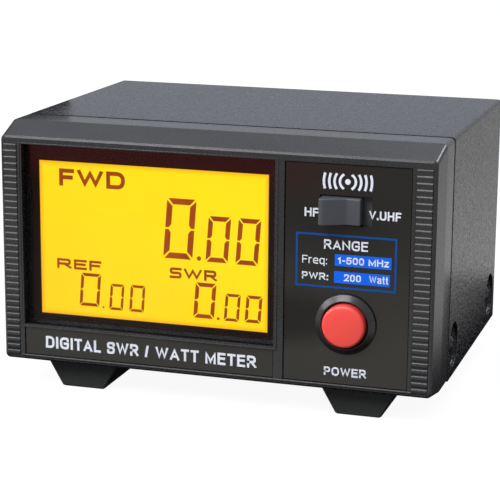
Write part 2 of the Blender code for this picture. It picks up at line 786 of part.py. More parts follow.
def make_foot(name, x, depth, way):
    top = UNDER - GAP
    mesh = bpy.data.meshes.new(name)
    shape = bmesh.new()
    ends = (depth + way * (FOOT_LENGTH - FOOT_SCREW_BACK), depth - way * FOOT_SCREW_BACK)
    corners = []
    for end in ends:
        for half, z in ((FOOT_BOTTOM / 2, 0.0), (FOOT_TOP / 2, top)):
            corners.append(shape.verts.new((x - half, world_y(end), z)))
            corners.append(shape.verts.new((x + half, world_y(end), z)))
    bmesh.ops.convex_hull(shape, input=corners)
    bmesh.ops.dissolve_limit(
        shape, angle_limit=math.radians(1), verts=shape.verts, edges=shape.edges
    )
    bmesh.ops.recalc_face_normals(shape, faces=shape.faces)
    shape.to_mesh(mesh)
    shape.free()
    foot = own(mesh, f"foot_{name}", foot_plastic(), (0, 0, 0))
    soften(foot, 0.0005, 1)
    start = (x, world_y(depth), -SHEET)
    cut(foot, rod(f"counterbore_{name}", FOOT_COUNTERBORE, start, FOOT_SINK + SHEET, "z", sides=20))
    cut(foot, rod(f"foot_bore_{name}", SCREW_HOLE, start, FOOT_HEIGHT + 2 * SHEET, "z", sides=12))


def make_screw(name, place, axis, material):
    """A pan-head screw whose head rests at place, with its thread running along the axis."""
    head = SCREW_HEAD_HEIGHT
    profile = [
        (0.0, SCREW_LENGTH),
        (0.6 * SCREW_RADIUS, SCREW_LENGTH),
        (SCREW_RADIUS, SCREW_LENGTH - 0.0008),
        (SCREW_RADIUS, 0.0),
        (SCREW_HEAD, 0.0),
        (SCREW_HEAD, -0.5 * head),
        (0.7 * SCREW_HEAD, -head),
        (0.0, -head),
    ]
    turned(name, profile, place, axis, material, steps=14)


def make_fasteners():
    for side, word, turn in ((-1, "left", "x"), (1, "right", "-x")):
        for name, depth in dish_depths():
            x = side * (HALF - DISH_DEPTH + GAP)
            place = (x, world_y(depth), UNDER + DISH_Z)
            make_screw(f"cover_screw_{name}_{word}", place, turn, black_steel())
    for index, (x, z) in enumerate(screw_corners()):
        side = "left" if x < 0 else "right"
        level = "bottom" if index % 2 == 0 else "top"
        place = (x, world_y(FLANGE_FRONT + PLATE + GAP), z)
        make_screw(f"bezel_screw_{level}_{side}", place, "-y", steel())
    for name, x, depth, _ in foot_places():
        place = (x, world_y(depth), FOOT_SINK - GAP)
        make_screw(f"foot_screw_{name}", place, "z", steel())


def make_socket(name, x):
    """A coaxial socket: flanged threaded body, insulator and centre contact."""
    wall = CASE_DEPTH + GAP
    half = SOCKET_SIDE / 2
    heights = (SOCKET_HEIGHT - half, SOCKET_HEIGHT + half)
    body = box(f"{name}_socket", (x - half, x + half), (wall, wall + SOCKET_FLANGE), heights, nickel())
    start = Vector((x, world_y(wall + SOCKET_FLANGE / 2), SOCKET_HEIGHT))
    barrel = SOCKET_REACH - GAP - SOCKET_FLANGE / 2
    join(body, rod(f"{name}_barrel", SOCKET_RADIUS, start, barrel, "y", sides=32))
    start.y = world_y(wall - SHEET)
    cut(body, rod(f"{name}_bore", SOCKET_BORE, start, SOCKET_REACH + 2 * SHEET, "y", sides=32))
    start.y = world_y(CASE_DEPTH)
    outer = SOCKET_BORE - GAP
    inner = CONTACT_RADIUS + GAP
    mouth = SOCKET_REACH - 0.0045
    profile = [
        (inner, mouth),
        (0.7 * outer, mouth),
        (outer, mouth - 0.001),
        (outer, -INSULATOR_TAIL),
        (inner, -INSULATOR_TAIL),
    ]
    turned(f"{name}_insulator", profile, start, "y", white_plastic(), ring=True)
    tip = SOCKET_REACH - 0.003
    profile = [
        (CONTACT_BORE, tip - 0.009),
        (CONTACT_BORE, tip),
        (CONTACT_RADIUS, tip),
        (CONTACT_RADIUS, -INSULATOR_TAIL - 0.001),
        (CONTACT_PIN, -INSULATOR_TAIL - 0.001),
        (CONTACT_PIN, -LINE_DEPTH + UHF_LINE_RADIUS + GAP),
        (0.0, -LINE_DEPTH + UHF_LINE_RADIUS + GAP),
    ]
    profile = [(0.0, tip - 0.009)] + profile
    turned(f"{name}_contact", profile, start, "y", gold(), steps=20)


def make_coupler(name, centre, radius):
    """A folded box on the rear wall, open to the front, with the through line across it."""
    rear = CASE_DEPTH - PLATE - GAP
    front = rear - COUPLER_DEPTH
    reach = SOCKET_PITCH / 2 + COUPLER_END
    across = (centre - reach, centre + reach)
    heights = (SOCKET_HEIGHT - COUPLER_HEIGHT / 2, SOCKET_HEIGHT + COUPLER_HEIGHT / 2)
    shell = box(f"{name}_coupler_box", across, (front, rear), heights, steel())
    inner_x = (across[0] + SHEET, across[1] - SHEET)
    inner_z = (heights[0] + SHEET, heights[1] - SHEET)
    cut(shell, box(f"{name}_coupler_hollow", inner_x, (front - SHEET, rear - SHEET), inner_z))
    for side in (-1, 1):
        x = centre + side * SOCKET_PITCH / 2
        start = (x, world_y(rear - 2 * SHEET), SOCKET_HEIGHT)
        cut(shell, rod(f"{name}_entry_{side}", SOCKET_BORE + GAP, start, 0.004, "y"))
    line_x = centre - SOCKET_PITCH / 2 - 2 * UHF_LINE_RADIUS
    start = (line_x, world_y(CASE_DEPTH - LINE_DEPTH), SOCKET_HEIGHT)
    rod(f"{name}_through_line", radius, start, SOCKET_PITCH + 4 * UHF_LINE_RADIUS, "x", gold())


def make_rear():
    names = ("hf_transmitter", "hf_antenna", "vuhf_transmitter", "vuhf_antenna")
    for name, x in zip(names, SOCKET_X):
        make_socket(name, x)
    make_coupler("hf", -PAIR_X, HF_LINE_RADIUS)
    make_coupler("vuhf", PAIR_X, UHF_LINE_RADIUS)
    start = (-PAIR_X - TOROID_WIDTH / 2, world_y(CASE_DEPTH - LINE_DEPTH), SOCKET_HEIGHT)
    profile = [
        (TOROID_BORE, TOROID_WIDTH),
        (TOROID_RADIUS, TOROID_WIDTH),
        (TOROID_RADIUS, 0.0),
        (TOROID_BORE, 0.0),
    ]
    turned("hf_toroid", profile, start, "x", ferrite(), ring=True)


def make_power_jack():
    start = Vector((0, world_y(CASE_DEPTH - JACK_DEPTH), UNDER + JACK_Z))
    inside = JACK_DEPTH - PLATE - GAP
    mouth = JACK_DEPTH + JACK_REACH
    profile = [
        (JACK_BORE, mouth),
        (JACK_RADIUS, mouth),
        (JACK_RADIUS, inside),
        (JACK_BLOCK, inside),
        (JACK_BLOCK, 0.0),
        (JACK_PIN + GAP, 0.0),
        (JACK_PIN + GAP, PLATE),
        (JACK_BORE, PLATE),
    ]
    turned("power_jack_body", profile, start, "y", chip_black(), steps=20, ring=True)
    back = start - Vector((0, SHEET, 0))
    rod("power_jack_pin", JACK_PIN, back, mouth, "y", nickel(), sides=12)
    place = Vector((0, world_y(CASE_DEPTH + GAP), UNDER + JACK_Z))
    nut = rod("power_jack_nut", JACK_NUT, place, JACK_NUT_HEIGHT, "y", nickel(), sides=6)
    place.y -= SHEET
    cut(nut, rod("jack_nut_hole", JACK_RADIUS + GAP, place, JACK_NUT_HEIGHT + 2 * SHEET, "y"))


def make_electronics():
    across = (-HALF + BOARD_MARGIN, HALF - BOARD_MARGIN)
    depths = (BOARD_FRONT, CASE_DEPTH - BOARD_REAR)
    heights = (BOARD_LOW, BOARD_LOW + BOARD)
    box("main_board", across, depths, heights, board_green())
    for end, depth in (("front", depths[0] + STANDOFF_INSET), ("rear", depths[1] - STANDOFF_INSET)):
        for side, x in (("left", across[0] + STANDOFF_INSET), ("right", across[1] - STANDOFF_INSET)):
            place = (x, world_y(depth), STANDOFF_LOW)
            rod(f"standoff_{end}_{side}", STANDOFF_RADIUS, place, STANDOFF_HEIGHT, "z", nickel(), 6)
    surface = BOARD_LOW + BOARD + GAP
    middle = (depths[0] + depths[1]) / 2
    half = CHIP_SIDE / 2
    chip_x = across[0] + CHIP_X
    box("microcontroller", (chip_x - half, chip_x + half), (middle - half, middle + half),
        (surface, surface + CHIP_HEIGHT), chip_black())
    wide, deep, tall = REGULATOR
    heat_x = across[1] - REGULATOR_X
    box("voltage_regulator", (heat_x - wide / 2, heat_x + wide / 2),
        (middle - deep / 2, middle + deep / 2), (surface, surface + tall), chip_black())


def make_ribbon():
    """The flat cable from the back of the display board down to the main board."""
    start = Vector((BOARD_PLANE + BOARD + GAP + RIBBON_THICKNESS / 2, WINDOW_LOW + 0.01))
    drop = BOARD_LOW + BOARD + GAP + RIBBON_THICKNESS / 2
    end = Vector((BOARD_FRONT + 0.009, drop))
    top = Vector((start.x, start.y + 0.014))
    bend = Vector((BOARD_FRONT - 0.004, start.y + 0.02))
    down = Vector((BOARD_FRONT + 0.001, drop))
    points = [start.to_3d(), top.to_3d()]
    points += interpolate_bezier(top.to_3d(), (top + Vector((0, 0.009))).to_3d(),
                                 bend.to_3d(), ((bend + down) / 2).to_3d(), 8)[1:]
    points += interpolate_bezier(((bend + down) / 2).to_3d(), (down + Vector((0, 0.004))).to_3d(),
                                 down.to_3d(), end.to_3d(), 8)[1:]
    mesh = bpy.data.meshes.new("ribbon_cable")
    shape = bmesh.new()
    left = WINDOW_LEFT + 0.03
    rows = []
    for depth, height, _ in points:
        row = [(left, world_y(depth), height), (left + RIBBON_WIDTH, world_y(depth), height)]
        rows.append([shape.verts.new(place) for place in row])
    for one, two in zip(rows, rows[1:]):
        shape.faces.new((one[0], one[1], two[1], two[0]))
    shape.to_mesh(mesh)
    shape.free()
    ribbon = own(mesh, "ribbon_cable", ribbon_grey(), (0, 0, 0))
    shell = ribbon.modifiers.new("thickness", "SOLIDIFY")
    shell.thickness = RIBBON_THICKNESS
    shell.offset = 0.0


def main():
    make_bezel()
    make_face_plates()
    make_display()
    make_band_switch()
    make_power_switch()
    make_cover()
    make_chassis()
    for foot in foot_places():
        make_foot(*foot)
    make_fasteners()
    make_rear()
    make_power_jack()
    make_electronics()
    make_ribbon()


main()
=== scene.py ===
"""Looks of a digital SWR and watt meter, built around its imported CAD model. Lengths are in metres."""

import math

import bmesh
import bpy
from mathutils import Matrix, Vector


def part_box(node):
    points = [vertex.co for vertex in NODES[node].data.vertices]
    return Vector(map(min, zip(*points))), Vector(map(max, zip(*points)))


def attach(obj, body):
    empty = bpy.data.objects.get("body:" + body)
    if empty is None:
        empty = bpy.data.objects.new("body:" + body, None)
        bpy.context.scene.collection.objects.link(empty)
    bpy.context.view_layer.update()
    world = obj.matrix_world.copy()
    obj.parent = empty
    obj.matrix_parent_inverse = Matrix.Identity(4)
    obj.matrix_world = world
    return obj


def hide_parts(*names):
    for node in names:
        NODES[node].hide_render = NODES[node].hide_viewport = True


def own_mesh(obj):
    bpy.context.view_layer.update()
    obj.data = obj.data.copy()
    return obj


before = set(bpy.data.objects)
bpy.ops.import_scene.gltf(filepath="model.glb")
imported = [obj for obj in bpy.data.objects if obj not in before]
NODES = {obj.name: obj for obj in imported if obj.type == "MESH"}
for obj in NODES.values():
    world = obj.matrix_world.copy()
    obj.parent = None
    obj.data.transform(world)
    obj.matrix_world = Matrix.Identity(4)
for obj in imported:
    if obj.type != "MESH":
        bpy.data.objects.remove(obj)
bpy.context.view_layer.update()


# ---------------------------------------------------------------- sizes and places

MM = 0.001
CORNER_STEPS = 6  # straight pieces in a rounded corner

# faces of the CAD model that the looks are built on
BEZEL_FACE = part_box("front_bezel")[0].y
BEZEL_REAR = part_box("front_bezel")[1].y
COVER_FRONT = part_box("top_cover")[0].y
COVER_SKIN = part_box("top_cover")[1]
PANEL_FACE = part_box("control_panel")[0].y
GLASS_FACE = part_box("display_glass")[0].y
CHASSIS_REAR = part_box("chassis")[1].y

# camera: its angles in radians, its lens and sensor in millimetres
CAMERA_PLACE = Vector((0.18497, -0.62042, 0.19389))
CAMERA_YAW = -0.2982
CAMERA_PITCH = 0.2307
CAMERA_ROLL = 0.0079
FOCAL_LENGTH = 128.56
SENSOR_WIDTH = 36.0

# lamps: name, place, target, side, power in watts, colour
LAMPS = (
    ("key_light", (-0.35, -0.85, 0.95), (0, 0, 0.04), 0.7, 14, (1, 1, 1)),
    ("top_light", (0.1, 0.25, 1.2), (0, 0, 0.05), 0.9, 4, (1, 1, 1)),
    ("rear_light", (0.65, 0.80, 1.0), (0, 0, 0.05), 0.4, 5, (1, 1, 1)),
    ("left_light", (-1.0, -0.48, 0.58), (0, 0, 0.05), 0.5, 6, (0.94, 0.96, 1.0)),
)
# sky: share of the way up from straight down to straight up, and how light it is there
SKY = ((0.0, 0.05), (0.46, 0.05), (0.53, 0.62), (0.62, 0.6), (1.0, 0.5))
SKY_TINT = (0.96, 1.0, 1.12)
SKY_STRENGTH = 0.9
GROUND = ((-4, -3), (4, 6))
FLOOR_GLOW = 0.93

# reflected table, painted light and shade: black up to these distances at both sides, behind and in
# front of the middle, as a painted shadow of the object
TABLE_SHADOW_REACH = (0.106, 0.155, 0.09)
TABLE_SHADOW_FADE = 0.012
TABLE_HEIGHT = -0.002
TABLE_GLOW = 1.5
# a painted warm reflection and a painted shade spot, seen only in the gloss of the object
WARM_REFLECTION_SPOT = (-0.165, -0.50, 0.0)
REFLECTED_SHADE_SPOT = (-0.02, -0.19, 0.0)

# reflected card, a painted dark reflection: its place across, and its range in depth and height
CARD_ACROSS = -0.086
CARD_DEPTH = (-0.07, 0.02)
CARD_HEIGHT = (0.07, 0.1055)

# display: the lit area's left, right, low and high edge
FIELD = (-65.8 * MM, 17.8 * MM, 26.5 * MM, 81.5 * MM)
FIELD_THICK = 0.00006
FIELD_RIM = 0.0016
GLOW_ACROSS = (-0.066, 0.018)
GLOW_UPWARD = (0.026, 0.082)
BORDER_GLOW = (0.074, 0.0825)
DIGIT_THICK = 0.00005
# noughts, in millimetres: left and right edge at the foot, foot height, top height, stroke
DIGITS = (
    (-20.0, -9.4, 50.0, 71.2, 2.1),
    (-4.6, 3.4, 49.8, 65.9, 1.65),
    (6.15, 14.1, 49.7, 65.9, 1.6),
    (-51.4, -44.0, 30.3, 42.2, 1.1),
    (-40.2, -35.1, 29.7, 39.1, 0.9),
    (-32.7, -27.3, 29.7, 39.3, 0.95),
    (-9.0, -1.5, 29.6, 42.2, 1.4),
    (2.1, 7.5, 29.4, 39.1, 1.0),
    (9.6, 15.3, 29.5, 39.1, 1.1),
)
# decimal points, in millimetres: place across, height, radius
POINTS = ((-6.95, 50.7, 0.8), (-42.4, 30.3, 0.35), (0.1, 29.9, 0.5))
SLANT = 0.075

# print: how thick it is, and the step between strokes that cross, so that no faces coincide
INK = 0.00004
INK_STEP = 0.000003
LETTER_GAP = 0.13
TAIL = 0.3
MARK_RADII = (2.7, 4.5, 6.3, 8.1)
MARK_HALF_HEIGHT = 2.25
MARK_DOT = 0.95

# edges: what counts as one place, as near, as flat, as a corner and as a curve
MERGE = 0.000002
NEAR = 0.00001
FLAT = math.radians(0.6)
SHARP = math.radians(25)
SMOOTH_DEGREES = 38
SKIN_SLACK = 0.00005
FRONT_WALL = 0.0029
CREASE_DEPTH = 0.012
CREASE_SLACK = 0.0002
CREASE_ANGLE = math.radians(1.5)

# seam between bezel and cover, with a near-black strip in it that is painted shade
GROOVE = 0.0012
SEAM_SHADE_SINK = 0.00005
SEAM_SHADE_THICK = 0.001
SEAM_SHADE_GAP = 0.00004
OUTLINE_CORNER = 0.0016
COVER_SKIRT = 0.0125

# ribs: left and right end of each strip in millimetres
RIB_STRIPS = (("left", -75.9, -71.0), ("right", 69.95, 75.4))
RIB_START = 12.05 * MM
RIB_PITCH = 2.244 * MM
RIB_COUNT = 34
RIB_ROOT = BEZEL_FACE - 0.02 * MM
RIB_HEIGHT = 0.3 * MM
RIB_SOFTNESS = 0.12 * MM
RIB_BACK = BEZEL_FACE + 0.75 * MM
# one rib from its foot up: the share of the pitch, and how far it has risen from root to crest
RIB_LINE = ((0.02, 0.0), (0.2, 0.55), (0.4, 0.86), (0.6, 1.0), (0.72, 0.93), (0.84, 0.55), (0.92, 0.0))

# screws
SCREW_RADIUS = 0.0029
SCREW_HEAD = 0.002
SCREW_SHANK = 0.0014
SCREW_LENGTH = 0.0078
SCREW_PITCH = 0.0006
THREAD_FOOT = 0.84

# coaxial sockets
BARREL_RADIUS = 0.0078
CREST_RADIUS = 0.0083
THREAD_RADIUS = 0.0079
THREAD_PITCH = 0.00106
THREAD_START = 0.0035
THREAD_END = 0.0012
# one thread: its radius and the share of the pitch
THREAD_LINE = ((THREAD_RADIUS, 0), (CREST_RADIUS, 0.4), (CREST_RADIUS, 0.6), (THREAD_RADIUS, 0.98))
FLANGE = 0.0024
FLANGE_HEAD = 0.0014
FLANGE_HEAD_RADIUS = 0.0024
FLANGE_SCREW_INSET = 0.0037


# ---------------------------------------------------------------- shader helpers


def node(tree, kind, **inputs):
    """A shader node with numbers or links for its inputs, by name or as _0, _1 for their order."""
    made = tree.nodes.new("ShaderNode" + kind)
    for key, value in inputs.items():
        if key in ("operation", "blend_type"):
            setattr(made, key, value)
            continue
        socket = made.inputs[int(key[1:]) if key[0] == "_" else key]
        if isinstance(value, bpy.types.NodeSocket):
            tree.links.new(value, socket)
        else:
            socket.default_value = value
    return made


def maths(tree, operation, *values):
    inputs = {f"_{k}": value for k, value in enumerate(values)}
    return node(tree, "Math", operation=operation, **inputs).outputs[0]


def multiplied(tree, one, two):
    return node(tree, "MixRGB", blend_type="MULTIPLY", _0=1.0, _1=one, _2=two).outputs[0]


def place_of(tree):
    """The piece's own coordinates."""
    return node(tree, "TexCoord").outputs["Object"]


def noise(tree, scale, detail=3.0, roughness=0.55, stretch=None):
    """A noise field over the piece's own coordinates; scale is in waves per metre."""
    source = place_of(tree)
    if stretch:
        source = node(tree, "Mapping", Vector=source, Scale=stretch).outputs["Vector"]
    field = node(tree, "TexNoise", Vector=source, Scale=scale, Detail=detail, Roughness=roughness)
    return field.outputs["Fac"]


def spread(tree, field, low, high, start=0.3, end=0.7):
    """Maps a field's part from start to end onto the numbers from low to high."""
    span = {"From Min": start, "From Max": end, "To Min": low, "To Max": high}
    return node(tree, "MapRange", Value=field, **span).outputs[0]


def blend_colours(tree, field, dark, light, start=0.3, end=0.7):
    ramp = node(tree, "ValToRGB", _0=field)
    for band, place, colour in zip(ramp.color_ramp.elements, (start, end), (dark, light)):
        band.position = place
        band.color = (*colour, 1)
    return ramp.outputs[0]


def fade(tree, field, start, end, first, last):
    """A colour that goes from first to last while the field goes from start to end."""
    return blend_colours(tree, spread(tree, field, 0, 1, start, end), first, last, 0, 1)


def bump(tree, field, height, strength=1.0, under=None):
    relief = node(tree, "Bump", Distance=height, Strength=strength, Height=field)
    if under:
        tree.links.new(under, relief.inputs["Normal"])
    return relief.outputs[0]


def grey(value):
    return (value, value, value)


def shade(colour, factor):
    return tuple(min(1.0, c * factor) for c in colour)


def shader_of(name):
    """A new material, with its node tree and its shader."""
    paint = bpy.data.materials.new(name)
    paint.use_nodes = True
    return paint, paint.node_tree, paint.node_tree.nodes["Principled BSDF"]


def plain_shader(name, colour, roughness, specular=0.0):
    paint, tree, shader = shader_of(name)
    shader.inputs["Base Color"].default_value = (*colour, 1)
    shader.inputs["Roughness"].default_value = roughness
    shader.inputs["Specular IOR Level"].default_value = specular
    return paint, tree, shader


def bare_material(name):
    """A new material without its usual shader, and its node tree."""
    paint, tree, shader = shader_of(name)
    tree.nodes.remove(shader)
    return paint, tree


def add_glow(tree, shader, colour, strength=1.0):
    tree.links.new(colour, shader.inputs["Emission Color"])
    shader.inputs["Emission Strength"].default_value = strength


# ---------------------------------------------------------------- camera, lights and floor


def link(thing):
    bpy.context.scene.collection.objects.link(thing)
    return thing


def make_camera():
    lens = bpy.data.cameras.new("camera")
    lens.sensor_width = SENSOR_WIDTH
    lens.lens = FOCAL_LENGTH
    lens.clip_start = 0.01
    camera = link(bpy.data.objects.new("camera", lens))
    turn = (
        Matrix.Rotation(CAMERA_ROLL, 3, "Y")
        @ Matrix.Rotation(CAMERA_PITCH, 3, "X")
        @ Matrix.Rotation(CAMERA_YAW, 3, "Z")
    )
    right, forward, up = turn
    axes = Matrix((right, up, -forward)).transposed()
    camera.matrix_world = Matrix.Translation(CAMERA_PLACE) @ axes.to_4x4()
    bpy.context.scene.camera = camera


def area_light(name, place, target, size, power, colour):
    lamp = bpy.data.lights.new(name, "AREA")
    lamp.energy = power
    lamp.color = colour
    lamp.size = size
    thing = link(bpy.data.objects.new(name, lamp))
    thing.location = place
    thing.rotation_euler = (Vector(target) - Vector(place)).to_track_quat("-Z", "Y").to_euler()
    thing.visible_camera = False


def make_world():
    world = bpy.data.worlds.new("studio")
    bpy.context.scene.world = world
    world.use_nodes = True
    tree = world.node_tree
    way = node(tree, "TexCoord").outputs["Generated"]
    height = node(tree, "SeparateXYZ", _0=way).outputs["Z"]
    ramp = node(tree, "ValToRGB", _0=spread(tree, height, 0, 1, -1, 1))
    bands = ramp.color_ramp.elements
    for place, level in SKY[1:-1]:
        bands.new(place)
    for band, (place, level) in zip(bands, SKY):
        band.position = place
        band.color = (*shade(SKY_TINT, level), 1)
    back = tree.nodes["Background"]
    tree.links.new(ramp.outputs[0], back.inputs["Color"])
    back.inputs["Strength"].default_value = SKY_STRENGTH


def sheet(name, corners):
    mesh = bpy.data.meshes.new(name)
    mesh.from_pydata(corners, [], [(0, 1, 2, 3)])
    return link(bpy.data.objects.new(name, mesh))


def ground_sheet(name, height):
    (left, near), (right, away) = GROUND
    return sheet(name, [(u, v, height) for u, v in rectangle(left, right, near, away)])


def make_floor():
    floor = ground_sheet("floor", 0.0)
    paint, tree, shader = plain_shader("floor_white", grey(0.12), 0.9)
    shader.inputs["Emission Color"].default_value = (1, 1, 1, 1)
    shader.inputs["Emission Strength"].default_value = FLOOR_GLOW
    floor.data.materials.append(paint)
    floor.visible_glossy = False
    floor.visible_diffuse = False


def only_reflected(thing, paint):
    """Stages a thing that is seen in the gloss of the object and nowhere else."""
    thing.data.materials.append(paint)
    thing.visible_camera = False
    thing.visible_diffuse = False
    thing.visible_shadow = False


def make_table():
    """A glowing table top that only reflections see, painted with light and shade: black round the
    object as a painted shadow, bright further out, with a painted warm reflection and a painted shade
    spot.
    """
    paint, tree = bare_material("table_painted_reflections")
    where = place_of(tree)
    split = node(tree, "SeparateXYZ", _0=where).outputs
    across = maths(tree, "ABSOLUTE", split["X"])
    front = maths(tree, "MULTIPLY", split["Y"], -1.0)
    far = None
    for distance, clear in zip((across, split["Y"], front), TABLE_SHADOW_REACH):
        out = maths(tree, "SUBTRACT", distance, clear)
        far = maths(tree, "MAXIMUM", far, out) if far else out
    warm = node(tree, "VectorMath", operation="DISTANCE", _0=where, _1=WARM_REFLECTION_SPOT).outputs["Value"]
    dark = node(tree, "VectorMath", operation="DISTANCE", _0=where, _1=REFLECTED_SHADE_SPOT).outputs["Value"]
    glow = fade(tree, far, 0, TABLE_SHADOW_FADE, grey(0.01), grey(1.0))
    # painted reflection: brightness steps across the table, the warm reflection and the shade spot
    for tint in (
        fade(tree, front, 0, 0.15, grey(0.45), (0.52, 0.5, 0.45)),
        fade(tree, front, 0.16, 0.36, grey(1.0), grey(0.42)),
        spread(tree, split["Y"], 1.1, 0.78, 0.1, 0.5),
        fade(tree, warm, 0.05, 0.13, (2.0, 0.55, 0.5), grey(1.0)),
        spread(tree, dark, 0.35, 1.0, 0.03, 0.05),
    ):
        glow = multiplied(tree, glow, tint)
    light = node(tree, "Emission", Color=glow, Strength=TABLE_GLOW).outputs[0]
    tree.links.new(light, tree.nodes["Material Output"].inputs["Surface"])
    only_reflected(ground_sheet("table", TABLE_HEIGHT), paint)


def make_card():
    """A dark card at the left, seen only as a reflection in the top cover: a painted dark reflection
    there.
    """
    corners = [(CARD_ACROSS, y, z) for y, z in rectangle(*CARD_DEPTH, *CARD_HEIGHT)]
    paint, tree, shader = plain_shader("card_painted_dark_reflection", (0.02, 0.015, 0.012), 0.9)
    only_reflected(sheet("card", corners), paint)


def make_studio():
    for lamp in LAMPS:
        area_light(*lamp)
    make_table()
    make_card()
    make_world()
    make_floor()
    bpy.context.scene.view_settings.view_transform = "Standard"


# ---------------------------------------------------------------- materials


def surface(
    name,
    colour,
    roughness,
    grain=(900, 0.00002),
    variation=0.15,
    metal=0.0,
    specular=0.5,
    coat=0.0,
    patch=60,
    stretch=None,
):
    """A painted, moulded or plated surface: slow colour patches, uneven gloss and a fine relief."""
    paint, tree, shader = shader_of(name)
    slow = noise(tree, patch, 4)
    fine = noise(tree, grain[0], 2, 0.6, stretch)
    colours = blend_colours(tree, slow, shade(colour, 1 - variation), shade(colour, 1 + variation))
    tree.links.new(colours, shader.inputs["Base Color"])
    gloss = spread(tree, fine, roughness * 0.85, min(1.0, roughness * 1.2))
    tree.links.new(gloss, shader.inputs["Roughness"])
    tree.links.new(bump(tree, fine, grain[1]), shader.inputs["Normal"])
    shader.inputs["Metallic"].default_value = metal
    shader.inputs["Specular IOR Level"].default_value = specular
    shader.inputs["Coat Weight"].default_value = coat
    shader.inputs["Coat Roughness"].default_value = 0.08
    return paint


def powder_coat(name):
    """Black powder coat: an orange-peel grain, whose small bright and dark specks in the colour are
    partly real grain and partly painted glints.
    """
    paint, tree, shader = shader_of(name)
    grain_and_glint = noise(tree, 1050, 1.0, 0.5)
    # painted glints: the bright specks in the base colour stand for glints of the grain
    tone = blend_colours(tree, grain_and_glint, (0.006, 0.0062, 0.0075), (0.043, 0.044, 0.050), 0.42, 0.66)
    patches = blend_colours(tree, noise(tree, 45, 3), grey(0.85), grey(1.0))
    tree.links.new(multiplied(tree, tone, patches), shader.inputs["Base Color"])
    tree.links.new(spread(tree, grain_and_glint, 0.12, 0.34), shader.inputs["Roughness"])
    shader.inputs["Specular IOR Level"].default_value = 0.3
    lumps = bump(tree, noise(tree, 700, 2), 0.00004, 0.5)
    tree.links.new(bump(tree, grain_and_glint, 0.00025, 1.0, lumps), shader.inputs["Normal"])
    return paint


def lit_display(name):
    """Back-lit liquid crystal: yellow, a little more orange towards the lower left and the edges."""
    paint, tree, shader = plain_shader(name, (0.05, 0.03, 0.0), 0.5, 0.1)
    split = node(tree, "SeparateXYZ", _0=place_of(tree)).outputs
    across = spread(tree, split["X"], 0.0, 0.55, *GLOW_ACROSS)
    upward = spread(tree, split["Z"], 0.0, 0.55, *GLOW_UPWARD)
    cloud = spread(tree, noise(tree, 30, 2), -0.12, 0.12)
    level = maths(tree, "ADD", maths(tree, "ADD", across, upward), cloud)
    colours = blend_colours(tree, level, (1.0, 0.66, 0.013), (0.97, 0.76, 0.009), 0.15, 0.85)
    nearest = None
    left, right, low, high = FIELD
    for first, second in (
        (split["X"], left),
        (right, split["X"]),
        (split["Z"], low),
        (high, split["Z"]),
    ):
        inside = maths(tree, "SUBTRACT", first, second)
        nearest = maths(tree, "MINIMUM", nearest, inside) if nearest else inside
    rim = fade(tree, nearest, 0, FIELD_RIM, (0.98, 0.62, 0.9), grey(1))
    add_glow(tree, shader, multiplied(tree, colours, rim), 1.05)
    return paint


def display_ink(name):
    """The dark segments, which let a little brown light through."""
    paint, tree, shader = plain_shader(name, (0.02, 0.005, 0.001), 0.6, 0.1)
    tone = blend_colours(tree, noise(tree, 150, 2), (0.30, 0.040, 0.006), (0.40, 0.066, 0.008))
    add_glow(tree, shader, tone)
    return paint


def glowing_rim(name):
    """The display's unlit border, which takes a deep red glow from the backlight."""
    paint, tree, shader = plain_shader(name, (0.006, 0.003, 0.003), 0.4, 0.1)
    height = node(tree, "SeparateXYZ", _0=place_of(tree)).outputs["Z"]
    tone = fade(tree, height, *BORDER_GLOW, (0.0050, 0.0022, 0.0020), (0.022, 0.0035, 0.0035))
    add_glow(tree, shader, tone)
    return paint


def clear_plastic(name):
    """A thin clear window: see-through with a faint gloss, which grows towards a slanting view."""
    paint, tree = bare_material(name)
    through = node(tree, "BsdfTransparent", Color=(0.985, 0.985, 0.98, 1)).outputs[0]
    blur = spread(tree, noise(tree, 90, 3), 0.03, 0.07)
    gloss = node(tree, "BsdfGlossy", Roughness=blur).outputs[0]
    facing = node(tree, "LayerWeight", Blend=0.5).outputs["Facing"]
    share = spread(tree, maths(tree, "POWER", facing, 5.0), 0.007, 0.6, 0, 1)
    window = node(tree, "MixShader", _0=share, _1=through, _2=gloss).outputs[0]
    tree.links.new(window, tree.nodes["Material Output"].inputs["Surface"])
    return paint


def board_green(name):
    """Solder mask over a faint net of tracks."""
    paint, tree, shader = shader_of(name)
    tints = {
        "Color1": (0.01, 0.09, 0.03, 1),
        "Color2": (0.012, 0.12, 0.045, 1),
        "Mortar": (0.02, 0.2, 0.08, 1),
    }
    cells = node(tree, "TexBrick", Vector=place_of(tree), Scale=400, **tints)
    tree.links.new(cells.outputs["Color"], shader.inputs["Base Color"])
    tree.links.new(spread(tree, noise(tree, 300), 0.3, 0.45), shader.inputs["Roughness"])
    return paint


